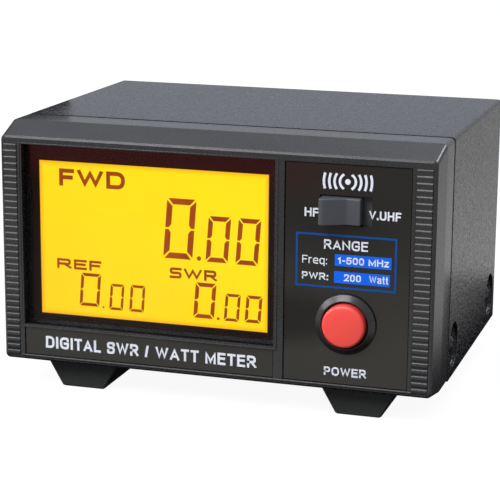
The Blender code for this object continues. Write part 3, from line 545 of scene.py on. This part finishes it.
def make_materials():
    """One material for each slot of the record, and the inks that only the looks need."""
    return {
        "black_plastic": surface(
            "satin_black", (0.031, 0.0313, 0.0325), 0.27, (1100, 0.00002), 0.12, specular=0.35
        ),
        "knob_plastic": surface("knob_grey", (0.062, 0.064, 0.074), 0.45, (1300, 0.00002), 0.1),
        "panel_gloss": surface(
            "gloss_panel", (0.0125, 0.0122, 0.011), 0.1, (240, 0.000002), 0.2, patch=25
        ),
        "switch_gloss": surface("gloss_ring", (0.02, 0.02, 0.022), 0.3, (500, 0.000003), 0.15),
        "powder_coat": powder_coat("powder_black"),
        "zinc_steel": surface("zinc", (0.62, 0.62, 0.60), 0.34, (1500, 0.00001), 0.1, 1.0),
        "foot_plastic": surface("foot_black", (0.024, 0.0245, 0.0235), 0.6, (1200, 0.00004), 0.15),
        "black_steel": surface("black_steel", grey(0.016), 0.38, (1500, 0.00001), 0.2, 0.4),
        "clear_lens": clear_plastic("clear_window"),
        "display_glass": glowing_rim("display_border"),
        "backlight": surface("light_guide", (0.8, 0.78, 0.7), 0.5, (400, 0.00001), 0.04),
        "circuit_board": board_green("solder_mask"),
        "red_plastic": surface(
            "red_cap", (0.93, 0.075, 0.058), 0.35, (900, 0.000004), 0.03, coat=0.2, patch=20
        ),
        "nickel": surface(
            "nickel_plate", (0.66, 0.64, 0.60), 0.26, (900, 0.000004), 0.03, 1.0
        ),
        "insulator": surface("ivory_ptfe", (0.78, 0.74, 0.66), 0.45, (600, 0.00001), 0.04),
        "gold_brass": surface("gold_plate", (0.83, 0.60, 0.25), 0.25, (1200, 0.00001), 0.08, 1.0),
        "tinned_steel": surface(
            "tin", (0.66, 0.67, 0.68), 0.36, (700, 0.00001), 0.1, 1.0, stretch=(8, 1, 1)
        ),
        "spring_steel": surface("spring", (0.45, 0.45, 0.46), 0.3, (900, 0.00001), 0.1, 1.0),
        "ferrite": surface("ferrite", (0.05, 0.048, 0.05), 0.7, (800, 0.00004), 0.2),
        "black_component": surface("epoxy_black", grey(0.02), 0.5, (1000, 0.00003), 0.15),
        "ribbon_grey": surface("ribbon", (0.35, 0.36, 0.38), 0.5, (200, 0.00004), 0.08),
        # near-black, also used for the seam strip as painted shade
        "gasket": surface("rubber_and_seam_shade_black", grey(0.003), 0.9, (900, 0.00002), 0.2, specular=0.05),
        "display_field": lit_display("lit_yellow"),
        "display_ink": display_ink("lit_brown"),
        "white_ink": surface("white_print", (0.80, 0.82, 0.88), 0.5, (700, 0.000004), 0.05),
        "blue_ink": surface(
            "blue_print", (0.006, 0.07, 0.30), 0.4, (700, 0.000004), 0.08, specular=0.2
        ),
        "blue_bar": surface(
            "blue_bar", (0.006, 0.14, 0.82), 0.4, (700, 0.000004), 0.06, specular=0.2
        ),
    }


# ---------------------------------------------------------------- pieces from mesh code


def smooth_mesh(mesh, degrees):
    mesh.shade_smooth()
    mesh.set_sharp_from_angle(angle=math.radians(degrees))


def piece(name, solid, finish, body="case", nodes=(), smooth=None):
    """Turns a bmesh into a piece that rides on a body and takes its finish from a slot."""
    bmesh.ops.recalc_face_normals(solid, faces=solid.faces)
    mesh = bpy.data.meshes.new(name)
    solid.to_mesh(mesh)
    solid.free()
    if smooth:
        smooth_mesh(mesh, smooth)
    thing = link(bpy.data.objects.new(name, mesh))
    mesh.materials.append(MATERIALS[finish])
    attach(thing, body)
    if nodes:
        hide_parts(*nodes)
    return thing


def round_edges(solid, edges, width, segments):
    bmesh.ops.bevel(
        solid,
        geom=edges,
        offset=width,
        segments=segments,
        profile=0.5,
        affect="EDGES",
        clamp_overlap=True,
        miter_outer="ARC",
    )


def slope_rear_rim(solid, depth):
    """Takes the outer corner off the back end, as wide as it is deep."""
    wide, back, high = (max(v.co[k] for v in solid.verts) for k in range(3))
    low = min(v.co.z for v in solid.verts)
    everything = solid.verts[:] + solid.edges[:] + solid.faces[:]
    start = (0, back - depth, 0)
    bmesh.ops.bisect_plane(solid, geom=everything, dist=MERGE / 2, plane_co=start, plane_no=(0, 1, 0))
    radius = OUTLINE_CORNER
    for vert in solid.verts:
        if vert.co.y < back - NEAR:
            continue
        x = min(max(vert.co.x, radius - wide), wide - radius)
        z = min(max(vert.co.z, low + radius), high - radius)
        out = Vector((vert.co.x - x, 0, vert.co.z - z))
        if out.length > radius - 2 * NEAR:
            vert.co -= out * (depth / radius)


def is_sharp(edge):
    return edge.calc_face_angle(0.0) > SHARP


def on_front_wall(edge):
    """The front wall's corners, and the shallow crease where the slopes meet the full section."""
    depths = [v.co.y - BEZEL_FACE for v in edge.verts]
    if max(depths) < FRONT_WALL:
        return is_sharp(edge)
    outside = all(
        abs(v.co.x) > COVER_SKIN.x - 0.3 * MM or v.co.z > COVER_SKIN.z - 0.6 * MM for v in edge.verts
    )
    crease = all(abs(depth - CREASE_DEPTH) < CREASE_SLACK for depth in depths)
    return outside and crease and edge.calc_face_angle(0.0) > CREASE_ANGLE


def on_cover_skin(edge):
    side, top = COVER_SKIN.x - SKIN_SLACK, COVER_SKIN.z - SKIN_SLACK
    return is_sharp(edge) and any(abs(v.co.x) > side or v.co.z > top for v in edge.verts)


def refined(
    node, name, finish, body="case", width=0.0003, segments=2, where=is_sharp, rear_slope=0.0
):
    """A node's own shape with its triangles joined, its edges rounded and its curves smooth."""
    solid = bmesh.new()
    solid.from_mesh(NODES[node].data)
    bmesh.ops.remove_doubles(solid, verts=solid.verts, dist=MERGE)
    bmesh.ops.dissolve_limit(solid, angle_limit=FLAT, verts=solid.verts, edges=solid.edges)
    bmesh.ops.connect_verts_concave(solid, faces=solid.faces)
    if rear_slope:
        slope_rear_rim(solid, rear_slope)
    if width:
        edges = [e for e in solid.edges if len(e.link_faces) == 2 and where(e)]
        round_edges(solid, edges, width, segments)
    thing = piece(name, solid, finish, body, [node], SMOOTH_DEGREES)
    even = thing.modifiers.new("even_normals", "WEIGHTED_NORMAL")
    even.keep_sharp = True
    return thing


# ---------------------------------------------------------------- lettering as thin ribbons

# Each letter is its width and its strokes. A stroke is a line through points x,y of the letter's
# box, from 0 to 1, with a corner radius where a third number stands; c closes the stroke.
LETTERS = {
    "A": (0.76, "0,0 .5,1 1,0", ".2,.27 .8,.27"),
    "D": (0.74, "c 0,0 0,1 1,1,.42 1,0,.42"),
    "E": (0.64, "1,1 0,1 0,0 1,0", "0,.53 .9,.53"),
    "F": (0.60, "1,1 0,1 0,0", "0,.5 .88,.5"),
    "G": (0.78, ".98,.78 .98,1,.4 0,1,.45 0,0,.45 1,0,.4 1,.47 .55,.47"),
    "H": (0.72, "0,0 0,1", "1,0 1,1", "0,.53 1,.53"),
    "I": (0.22, ".5,0 .5,1"),
    "L": (0.60, "0,1 0,0 1,0"),
    "M": (0.84, "0,0 0,1 .5,.1 1,1 1,0"),
    "N": (0.74, "0,0 0,1 1,0 1,1"),
    "O": (0.78, "c 0,0,.45 0,1,.45 1,1,.45 1,0,.45"),
    "P": (0.66, "0,0 0,1 1,1,.26 1,.44,.26 0,.44"),
    "R": (0.72, "0,0 0,1 .95,1,.25 .95,.47,.25 0,.47", ".5,.47 1,0"),
    "S": (0.68, ".98,.8 .98,1,.28 0,1,.28 0,.53,.25 1,.53,.25 1,0,.28 0,0,.28 0,.2"),
    "s": (0.68, "1,1 0,1,.22 0,.51,.22 1,.51,.22 1,0,.22 0,0"),
    "T": (0.64, "0,1 1,1", ".5,0 .5,1"),
    "U": (0.72, "0,1 0,0,.4 1,0,.4 1,1"),
    "V": (0.72, "0,1 .5,0 1,1"),
    "W": (1.02, "0,1 .25,0 .5,1 .75,0 1,1"),
    "X": (0.72, "0,0 1,1", "0,1 1,0"),
    "C": (0.74, ".98,.75 .98,1,.4 0,1,.45 0,0,.45 .98,0,.4 .98,.25"),
    "a": (0.56, "0,.66 0,.74,.2 1,.74,.2 1,0", "1,.42 0,.42,.2 0,0,.2 1,0,.1"),
    "e": (0.60, ".1,.37 1,.37 1,.74,.3 0,.74,.3 0,0,.3 1,0"),
    "q": (0.60, "1,-.27 1,.74", "c 0,0,.3 0,.74,.3 1,.74,.3 1,0,.3"),
    "r": (0.38, "0,0 0,.74", "0,.45 0,.74,.25 1,.74"),
    "t": (0.34, ".5,1 .5,0,.1 1,0", "0,.74 1,.74"),
    "z": (0.52, "0,.74 1,.74 0,0 1,0"),
    "0": (0.60, "c 0,0,.32 0,1,.32 1,1,.32 1,0,.32"),
    "1": (0.40, "0,.74 .8,1 .8,0"),
    "2": (0.60, "0,.78 0,1,.3 1,1,.3 1,.6,.3 0,0 1,0"),
    "5": (0.60, ".95,1 .1,1 0,.52 .5,.62,.1 1,.62,.3 1,0,.3 0,0,.3 0,.16"),
    "-": (0.36, "0,.42 1,.42"),
    ".": (0.16, ".5,0 .5,.06"),
    ":": (0.16, ".5,0 .5,.06", ".5,.62 .5,.68"),
    "/": (0.34, "0,0 1,1"),
    " ": (0.26,),
}


def rounded(points, closed):
    """The line's points, with an arc at each corner that has a radius."""
    out = []
    count = len(points)
    for i, point in enumerate(points):
        here = Vector(point[:2])
        radius = point[2] if len(point) > 2 else 0
        if not radius or (not closed and i in (0, count - 1)):
            out.append(here)
            continue
        before = Vector(points[i - 1][:2]) - here
        after = Vector(points[(i + 1) % count][:2]) - here
        reach = min(radius, before.length * 0.5, after.length * 0.5)
        start = here + before.normalized() * reach
        end = here + after.normalized() * reach
        for step in range(CORNER_STEPS + 1):
            t = step / CORNER_STEPS
            out.append(start * (1 - t) ** 2 + here * 2 * t * (1 - t) + end * t**2)
    return out


def ribbon_sides(points, half, closed):
    """The two edges of a ribbon of that half width along a line, with mitred corners."""
    left, right = [], []
    count = len(points)
    for i, here in enumerate(points):
        ahead = points[(i + 1) % count] - here if closed or i < count - 1 else None
        behind = here - points[i - 1] if closed or i > 0 else None
        first = (behind or ahead).normalized()
        second = (ahead or behind).normalized()
        side_a = Vector((-first.y, first.x))
        side_b = Vector((-second.y, second.x))
        side = side_a + side_b
        if side.length < 0.001:
            side = side_a
        side.normalize()
        stretch = 1 / max(0.4, side.dot(side_a))
        left.append(here + side * half * stretch)
        right.append(here - side * half * stretch)
    return left, right


def add_ribbon(solid, points, half, closed, place, thickness, clip=None):
    """Adds a thin closed strip along a line. place turns (u, v, height) into a point in space.

    clip is the lowest and highest v that the strip may reach."""
    points = [p for i, p in enumerate(points) if i == 0 or (p - points[i - 1]).length > 1e-7]
    if not closed:
        points[0] = points[0] + (points[0] - points[1]).normalized() * half
        points[-1] = points[-1] + (points[-1] - points[-2]).normalized() * half
    left, right = ribbon_sides(points, half, closed)
    if clip:
        for side in (left, right):
            for p in side:
                p.y = min(max(p.y, clip[0]), clip[1])
    rows = []
    for a, b in zip(left, right):
        corners = ((a, thickness), (b, thickness), (b, 0.0), (a, 0.0))
        rows.append([solid.verts.new(place(p.x, p.y, h)) for p, h in corners])
    spans = len(rows) if closed else len(rows) - 1
    for i in range(spans):
        one, two = rows[i], rows[(i + 1) % len(rows)]
        for k in range(4):
            j = (k + 1) % 4
            solid.faces.new((one[k], one[j], two[j], two[k]))
    if not closed:
        solid.faces.new(rows[0])
        solid.faces.new(rows[-1][::-1])


def on_front(depth):
    """Places flat work on the front, at that world y, with u to the right and v upward."""
    return lambda u, v, h: (u, depth - h, v)


def on_rear(depth):
    """Places flat work on the rear; u still runs to the reader's right."""
    return lambda u, v, h: (-u, depth + h, v)


def text_width(words):
    return sum(LETTERS[c][0] + LETTER_GAP for c in words) - LETTER_GAP


def add_words(solid, words, left, right, base, height, half, place):
    """Adds words between two places on a line; the letters are stretched sideways to fit."""
    scale = (right - left) / text_width(words)
    at = left
    layer = 0
    for letter in words:
        width, *strokes = LETTERS[letter]
        lowest = base - TAIL * height if letter == "q" else base
        for stroke in strokes:
            parts = stroke.split()
            closed = parts[0] == "c"
            points = []
            for part in parts[closed:]:
                across, up, *radius = (float(n) for n in part.split(","))
                u = at + half + across * (width * scale - 2 * half)
                v = base + half + up * (height - 2 * half)
                points.append((u, v, *[n * height for n in radius]))
            layer += 1
            thickness = INK + layer % 4 * INK_STEP
            line = rounded(points, closed)
            add_ribbon(solid, line, half, closed, place, thickness, (lowest, base + height))
        at += (width + LETTER_GAP) * scale


def words_piece(name, rows, finish, place):
    """rows: (words, left, right, baseline, cap height, half stroke), lengths in millimetres."""
    solid = bmesh.new()
    for words, *sizes in rows:
        add_words(solid, words, *[s * MM for s in sizes], place)
    return piece(name, solid, finish)


def add_slab(solid, outline, place, low, high):
    """Adds a flat closed plate with that outline, from height low to height high."""
    under = [solid.verts.new(place(u, v, low)) for u, v in outline]
    over = [solid.verts.new(place(u, v, high)) for u, v in outline]
    solid.faces.new(under)
    solid.faces.new(over[::-1])
    for i in range(len(outline)):
        j = (i + 1) % len(outline)
        solid.faces.new((under[i], over[i], over[j], under[j]))


def rectangle(left, right, low, high):
    return [(left, low), (right, low), (right, high), (left, high)]


def circle(across, up, radius, steps):
    turns = [k * math.tau / steps for k in range(steps)]
    return [(across + radius * math.cos(turn), up + radius * math.sin(turn)) for turn in turns]


# ---------------------------------------------------------------- display


def segment_outlines(width, height, stroke):
    """The outlines of the six segments of a seven-segment nought."""
    gap = stroke * 0.16
    middle = height / 2
    top = [
        (gap * 1.4, height),
        (width - gap * 1.4, height),
        (width - stroke - gap * 0.4, height - stroke),
        (stroke + gap * 0.4, height - stroke),
    ]
    upper = [
        (0, height - gap * 2),
        (stroke, height - stroke - gap * 2),
        (stroke, middle + gap + stroke * 0.55),
        (stroke * 0.6, middle + gap),
        (0, middle + gap),
    ]

    def flip(shape):
        return [(u, height - v) for u, v in shape]

    def swap(shape):
        return [(width - u, v) for u, v in shape]

    return [top, flip(top), upper, flip(upper), swap(upper), swap(flip(upper))]


def make_display():
    field = bmesh.new()
    add_slab(field, rectangle(*FIELD), on_front(GLASS_FACE), NEAR, FIELD_THICK)
    lit = piece("display_lit_area", field, "display_field")
    lit.visible_glossy = False
    lit.visible_diffuse = False
    ink = bmesh.new()
    front = on_front(GLASS_FACE - FIELD_THICK)
    for left, right, foot, top, stroke in DIGITS:
        width, height = (right - left) * MM, (top - foot) * MM
        for shape in segment_outlines(width, height, stroke * MM):
            outline = [(left * MM + u + v * SLANT, foot * MM + v) for u, v in shape]
            add_slab(ink, outline, front, NEAR, DIGIT_THICK)
    for point in POINTS:
        add_slab(ink, circle(*[size * MM for size in point], 12), front, NEAR, DIGIT_THICK)
    piece("display_digits", ink, "display_ink")
    words_piece(
        "display_legends",
        (
            ("FWD", -58.4, -33.9, 72.9, 6.1, 0.72),
            ("REF", -59.7, -43.0, 43.2, 3.6, 0.42),
            ("sWR", -17.6, -0.45, 43.0, 3.8, 0.44),
        ),
        "display_ink",
        front,
    )


# ---------------------------------------------------------------- printed panels


def make_mark(solid, place, centre, up):
    """A generic radio mark: a dot between arcs that spread to both sides."""
    add_slab(solid, circle(centre, up, MARK_DOT * MM, 24), place, 0.0, INK)
    for side in (-1, 1):
        for radius in MARK_RADII:
            reach = math.asin(min(0.8, MARK_HALF_HEIGHT / radius))
            line = []
            for step in range(-6, 7):
                turn = reach * step / 6
                across = centre + side * radius * MM * math.cos(turn)
                line.append(Vector((across, up + radius * MM * math.sin(turn))))
            add_ribbon(solid, line, 0.42 * MM, False, place, INK)


def make_print():
    place = on_front(PANEL_FACE)
    words_piece(
        "title_print",
        (
            ("DIGITAL SWR /", -61.4, -22.8, 15.8, 4.3, 0.43),
            ("WATT METER", -20.3, 16.1, 15.7, 4.3, 0.43),
        ),
        "white_ink",
        place,
    )
    words_piece(
        "panel_print",
        (
            ("HF", 32.4, 37.2, 69.9, 3.0, 0.29),
            ("V.UHF", 54.3, 65.0, 70.2, 3.0, 0.29),
            ("RANGE", 39.2, 54.2, 59.3, 3.3, 0.29),
            ("Freq:", 31.8, 40.4, 54.0, 2.7, 0.18),
            ("PWR:", 31.8, 40.8, 48.6, 2.5, 0.24),
            ("POWER", 39.9, 54.5, 15.8, 3.0, 0.29),
        ),
        "white_ink",
        place,
    )
    words_piece(
        "range_print",
        (
            ("1-500 MHz", 44.0, 61.3, 54.6, 2.4, 0.23),
            ("200", 46.3, 52.0, 48.8, 2.4, 0.23),
            ("Watt", 54.8, 61.2, 48.8, 2.5, 0.2),
        ),
        "white_ink",
        on_front(PANEL_FACE - INK),
    )
    bars = bmesh.new()
    for left, right, low, high in ((43.0, 62.2, 53.8, 57.8), (42.8, 61.8, 48.0, 52.0)):
        outline = [(u * MM, v * MM) for u, v in rectangle(left, right, low, high)]
        add_slab(bars, outline, place, 0.0, INK * 0.9)
    piece("range_bars", bars, "blue_bar")
    outline = bmesh.new()
    corners = [Vector((u * MM, v * MM)) for u, v in rectangle(29.9, 63.6, 46.4, 64.1)]
    add_ribbon(outline, corners, 0.34 * MM, True, place, INK)
    piece("range_outline", outline, "blue_ink")
    mark = bmesh.new()
    make_mark(mark, place, 46.9 * MM, 82.3 * MM)
    piece("radio_mark", mark, "white_ink")
    rows = []
    for centre, words in ((57, "ANT"), (28, "TX"), (-28, "ANT"), (-57, "TX")):
        reach = len(words) * 1.25
        rows.append((words, centre - reach, centre + reach, 72.5, 3.0, 0.28))
    rows.append(("HF", 39.5, 45.5, 79.0, 3.6, 0.33))
    rows.append(("V.UHF", -49.0, -36.0, 79.0, 3.6, 0.33))
    rows.append(("DC 12V", -7.5, 7.5, 35.5, 2.8, 0.26))
    words_piece("rear_print", rows, "white_ink", on_rear(CHASSIS_REAR))


# ---------------------------------------------------------------- moulded details on the front


def sweep_across(solid, section, left, right):
    """Adds a solid with that (y, z) section from left to right."""
    one = [solid.verts.new((left, y, z)) for y, z in section]
    two = [solid.verts.new((right, y, z)) for y, z in section]
    solid.faces.new(one)
    solid.faces.new(two[::-1])
    for i in range(len(section)):
        j = (i + 1) % len(section)
        solid.faces.new((one[i], two[i], two[j], one[j]))


def make_ribs():
    """Two strips of small ribs that run down both ends of the front, a little proud of the face."""
    for name, left, right in RIB_STRIPS:
        section = [(RIB_BACK, RIB_START)]
        for k in range(RIB_COUNT):
            for share, rise in RIB_LINE:
                section.append((RIB_ROOT - RIB_HEIGHT * rise, RIB_START + (k + share) * RIB_PITCH))
        section.append((RIB_BACK, RIB_START + RIB_COUNT * RIB_PITCH))
        solid = bmesh.new()
        sweep_across(solid, section, left * MM, right * MM)
        strip = piece(f"rib_strip_{name}", solid, "black_plastic", smooth=50)
        soften(strip, RIB_SOFTNESS)


def soften(thing, width):
    edge = thing.modifiers.new("soft_ends", "BEVEL")
    edge.width = width
    edge.segments = 2
    edge.limit_method = "ANGLE"
    edge.angle_limit = math.radians(70)


def make_seam_shade_strip():
    """A thin near-black strip in the groove between the bezel and the cover: painted shade for the
    seam's shadow.
    """
    back = COVER_FRONT - SEAM_SHADE_GAP
    section = (
        (BEZEL_REAR - GROOVE + 3 * SEAM_SHADE_GAP, SEAM_SHADE_SINK),
        (back, SEAM_SHADE_SINK),
        (back, SEAM_SHADE_THICK),
        (BEZEL_REAR - 1.5 * SEAM_SHADE_GAP, SEAM_SHADE_THICK),
    )
    edge, top = COVER_SKIN.x - OUTLINE_CORNER, COVER_SKIN.z - OUTLINE_CORNER
    solid = bmesh.new()
    rows = []
    for depth, inset in section:
        radius = OUTLINE_CORNER - inset
        line = [(-edge - radius, COVER_SKIRT)]
        for side, start in ((-1, math.pi), (1, math.pi / 2)):
            for k in range(CORNER_STEPS + 1):
                turn = start - k / CORNER_STEPS * math.pi / 2
                line.append((side * edge + radius * math.cos(turn), top + radius * math.sin(turn)))
        line.append((edge + radius, COVER_SKIRT))
        rows.append([solid.verts.new((x, depth, z)) for x, z in line])
    for i in range(len(rows[0]) - 1):
        for k in range(4):
            one, two = rows[k], rows[(k + 1) % 4]
            solid.faces.new((one[i], one[i + 1], two[i + 1], two[i]))
    solid.faces.new([row[0] for row in rows])
    solid.faces.new([row[-1] for row in rows][::-1])
    piece("seam_painted_shade_strip", solid, "gasket")


def half_round(half, proud, sink):
    """A bead's section as (across, rise) points: a flat foot below the face and a round back."""
    turns = [math.pi * k / 8 for k in range(9)]
    back = [(half * math.cos(turn), proud * math.sin(turn)) for turn in turns]
    return [(-half, -sink), (half, -sink)] + back


def make_bead(name, left, right, height):
    """A thin half-round ridge across the front; sizes in millimetres."""
    section = []
    for out, rise in half_round(0.45, 0.3, 0.2):
        section.append((BEZEL_FACE - rise * MM, (height + out) * MM))
    solid = bmesh.new()
    sweep_across(solid, section, left * MM, right * MM)
    piece(name, solid, "black_plastic", smooth=50)


def make_window_lip(left, right, low, high):
    """A half-round lip all round the display window; sizes in millimetres."""
    solid = bmesh.new()
    loops = []
    for out, rise in half_round(0.3, 0.25, 0.2):
        corners = rectangle(left - out, right + out, low - out, high + out)
        loops.append([solid.verts.new((u * MM, BEZEL_FACE - rise * MM, v * MM)) for u, v in corners])
    for k in range(len(loops)):
        one, two = loops[k], loops[(k + 1) % len(loops)]
        for i in range(4):
            j = (i + 1) % 4
            solid.faces.new((one[i], one[j], two[j], two[i]))
    piece("window_lip", solid, "black_plastic", smooth=50)


# ---------------------------------------------------------------- screws and sockets


def turned(solid, profile, centre, axis, steps, ring=False):
    """Adds the solid that a (radius, height) line makes when it turns; a ring closes on itself."""
    axis = Vector(axis).normalized()
    side = axis.orthogonal().normalized()
    other = axis.cross(side)
    rings = []
    for radius, height in profile:
        middle = Vector(centre) + axis * height
        if radius == 0:
            rings.append([solid.verts.new(middle)])
            continue
        hoop = []
        for k in range(steps):
            turn = k * math.tau / steps
            out = side * math.cos(turn) + other * math.sin(turn)
            hoop.append(solid.verts.new(middle + out * radius))
        rings.append(hoop)
    if ring:
        rings.append(rings[0])
    for one, two in zip(rings, rings[1:]):
        for k in range(steps):
            j = (k + 1) % steps
            corners = [one[k % len(one)], one[j % len(one)], two[j % len(two)], two[k % len(two)]]
            corners = list(dict.fromkeys(corners))
            if len(corners) > 2:
                solid.faces.new(corners)
    if len(rings[0]) > 1 and not ring:
        solid.faces.new(rings[0])
    if len(rings[-1]) > 1 and not ring:
        solid.faces.new(rings[-1][::-1])


def cross_cut(thing, centre, axis, reach, width, depth):
    """Cuts a tapered cross recess into the top of a head and keeps the result."""
    axis = Vector(axis).normalized()
    side = axis.orthogonal().normalized()
    other = axis.cross(side)
    tool = bmesh.new()
    for one, two in ((side, other), (other, side)):
        rows = []
        for level, shrink in ((0.6 * MM, 1.15), (-depth, 0.45)):
            middle = Vector(centre) + axis * level
            long = one * reach * shrink
            short = two * width * (0.6 + 0.4 * shrink)
            corners = ((-1, -1), (1, -1), (1, 1), (-1, 1))
            rows.append([tool.verts.new(middle + a * long + b * short) for a, b in corners])
        low, high = rows
        tool.faces.new(low)
        tool.faces.new(high[::-1])
        for k in range(4):
            j = (k + 1) % 4
            tool.faces.new((low[k], high[k], high[j], low[j]))
    bmesh.ops.recalc_face_normals(tool, faces=tool.faces)
    mesh = bpy.data.meshes.new("cutter")
    tool.to_mesh(mesh)
    tool.free()
    cutter = link(bpy.data.objects.new("cutter", mesh))
    cut = thing.modifiers.new("recess", "BOOLEAN")
    cut.operation = "DIFFERENCE"
    cut.solver = "EXACT"
    cut.use_self = True
    cut.object = cutter
    bpy.context.view_layer.update()
    scene = bpy.context.evaluated_depsgraph_get()
    final = bpy.data.meshes.new_from_object(thing.evaluated_get(scene))
    thing.modifiers.remove(cut)
    thing.data = final
    smooth_mesh(final, 30)
    bpy.data.objects.remove(cutter)


def head_line(radius, height):
    """The (radius, height) line of a domed screw head whose top is at nought."""
    line = [(0, 0)]
    for k in range(1, CORNER_STEPS + 1):
        turn = k / CORNER_STEPS * math.pi / 2
        line.append((radius * math.sin(turn), -height * 0.75 * (1 - math.cos(turn))))
    return line + [(radius, -height)]


def screw(name, node, finish, axis):
    """A cross-head screw that stands for a CAD screw: its head's top faces along axis."""
    low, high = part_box(node)
    axis = Vector(axis)
    top = (low + high) / 2
    for k in range(3):
        if axis[k]:
            top[k] = high[k] if axis[k] > 0 else low[k]
    core = SCREW_SHANK * THREAD_FOOT
    profile = head_line(SCREW_RADIUS, SCREW_HEAD) + [(SCREW_SHANK, -SCREW_HEAD)]
    for k in range(int((SCREW_LENGTH - SCREW_HEAD) / SCREW_PITCH)):
        start = -SCREW_HEAD - 0.2 * MM - k * SCREW_PITCH
        profile += [(core, start), (SCREW_SHANK, start - SCREW_PITCH / 2)]
    profile += [(core, -SCREW_LENGTH + 0.3 * MM), (0, -SCREW_LENGTH)]
    solid = bmesh.new()
    turned(solid, profile, top, axis, 32)
    thing = piece(name, solid, finish, nodes=[node])
    cross_cut(thing, top, axis, SCREW_RADIUS * 0.62, SCREW_RADIUS * 0.14, SCREW_HEAD * 0.8)


def make_screws():
    for side, turn in (("left", -1), ("right", 1)):
        for end in ("front", "rear"):
            name = f"{end}_{side}"
            screw(f"cover_cross_screw_{name}", f"cover_screw_{name}", "black_steel", (turn, 0, 0))
            screw(f"foot_cross_screw_{name}", f"foot_screw_{name}", "zinc_steel", (0, 0, -1))


def make_spring():
    """The return spring, copied onto a mesh of its own; its shortening as the button goes in is not
    made here.
    """
    spring = refined("power_button_spring", "return_spring", "spring_steel", width=0.0)
    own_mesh(spring)


def make_sockets():
    """Threads on the four socket barrels, and the screws in the corners of their flanges."""
    for name in ("hf_antenna", "hf_transmitter", "vuhf_antenna", "vuhf_transmitter"):
        low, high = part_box(f"{name}_socket")
        centre = (low + high) / 2
        start, end = low.y + THREAD_START, high.y - THREAD_END
        line = [(BARREL_RADIUS, end), (BARREL_RADIUS, start)]
        for k in range(int((end - start) / THREAD_PITCH)):
            foot = start + k * THREAD_PITCH
            for radius, share in THREAD_LINE:
                line.append((radius, foot + share * THREAD_PITCH))
        solid = bmesh.new()
        turned(solid, line, (centre.x, 0, centre.z), (0, 1, 0), 64, ring=True)
        piece(f"{name}_thread", solid, "nickel", smooth=20)
        reach = (high.x - low.x) / 2 - FLANGE_SCREW_INSET
        height = low.y + FLANGE + FLANGE_HEAD
        for k, (side, level) in enumerate(((-1, -1), (1, -1), (1, 1), (-1, 1))):
            top = Vector((centre.x + side * reach, height, centre.z + level * reach))
            solid = bmesh.new()
            turned(solid, head_line(FLANGE_HEAD_RADIUS, FLANGE_HEAD), top, (0, 1, 0), 28)
            head = piece(f"{name}_flange_screw_{k}", solid, "zinc_steel", smooth=40)
            cross_cut(head, top, (0, 1, 0), 1.5 * MM, 0.35 * MM, 1.0 * MM)


# ---------------------------------------------------------------- the whole

make_camera()
make_studio()
MATERIALS = make_materials()
for thing in NODES.values():
    slot = thing.data.materials[0].name.split(".")[0]
    thing.material_slots[0].material = MATERIALS[slot]
# painted light: the switch body seen through the knob's shaded slot takes the lighter knob grey, so the
# slot looks less dark
NODES["band_switch_body"].material_slots[0].material = MATERIALS["knob_plastic"]

refined(
    "front_bezel",
    "bezel_moulding",
    "black_plastic",
    width=0.00028,
    where=on_front_wall,
    rear_slope=GROOVE,
)
refined("top_cover", "cover_sheet", "powder_coat", width=0.0003, where=on_cover_skin)
refined("chassis", "chassis_sheet", "powder_coat", width=0.00015)
refined("band_knob", "band_knob_cap", "knob_plastic", "band_knob", width=0.0007, segments=4)
refined("power_switch_body", "power_switch_ring", "switch_gloss", width=0.0002, segments=3)
refined("power_button", "power_button_cap", "red_plastic", "power_button", width=0.0004, segments=4)
for foot in ("front_left", "front_right", "rear_left", "rear_right"):
    refined(f"foot_{foot}", f"foot_block_{foot}", "foot_plastic", width=0.0005, segments=3)
make_display()
make_print()
make_ribs()
# painted shade: a near-black strip in the seam between bezel and cover
make_seam_shade_strip()
make_window_lip(-70.1, 23.1, 23.1, 88.5)
make_bead("bottom_bead", -70, 70, 12.5)
make_screws()
make_sockets()
make_spring()
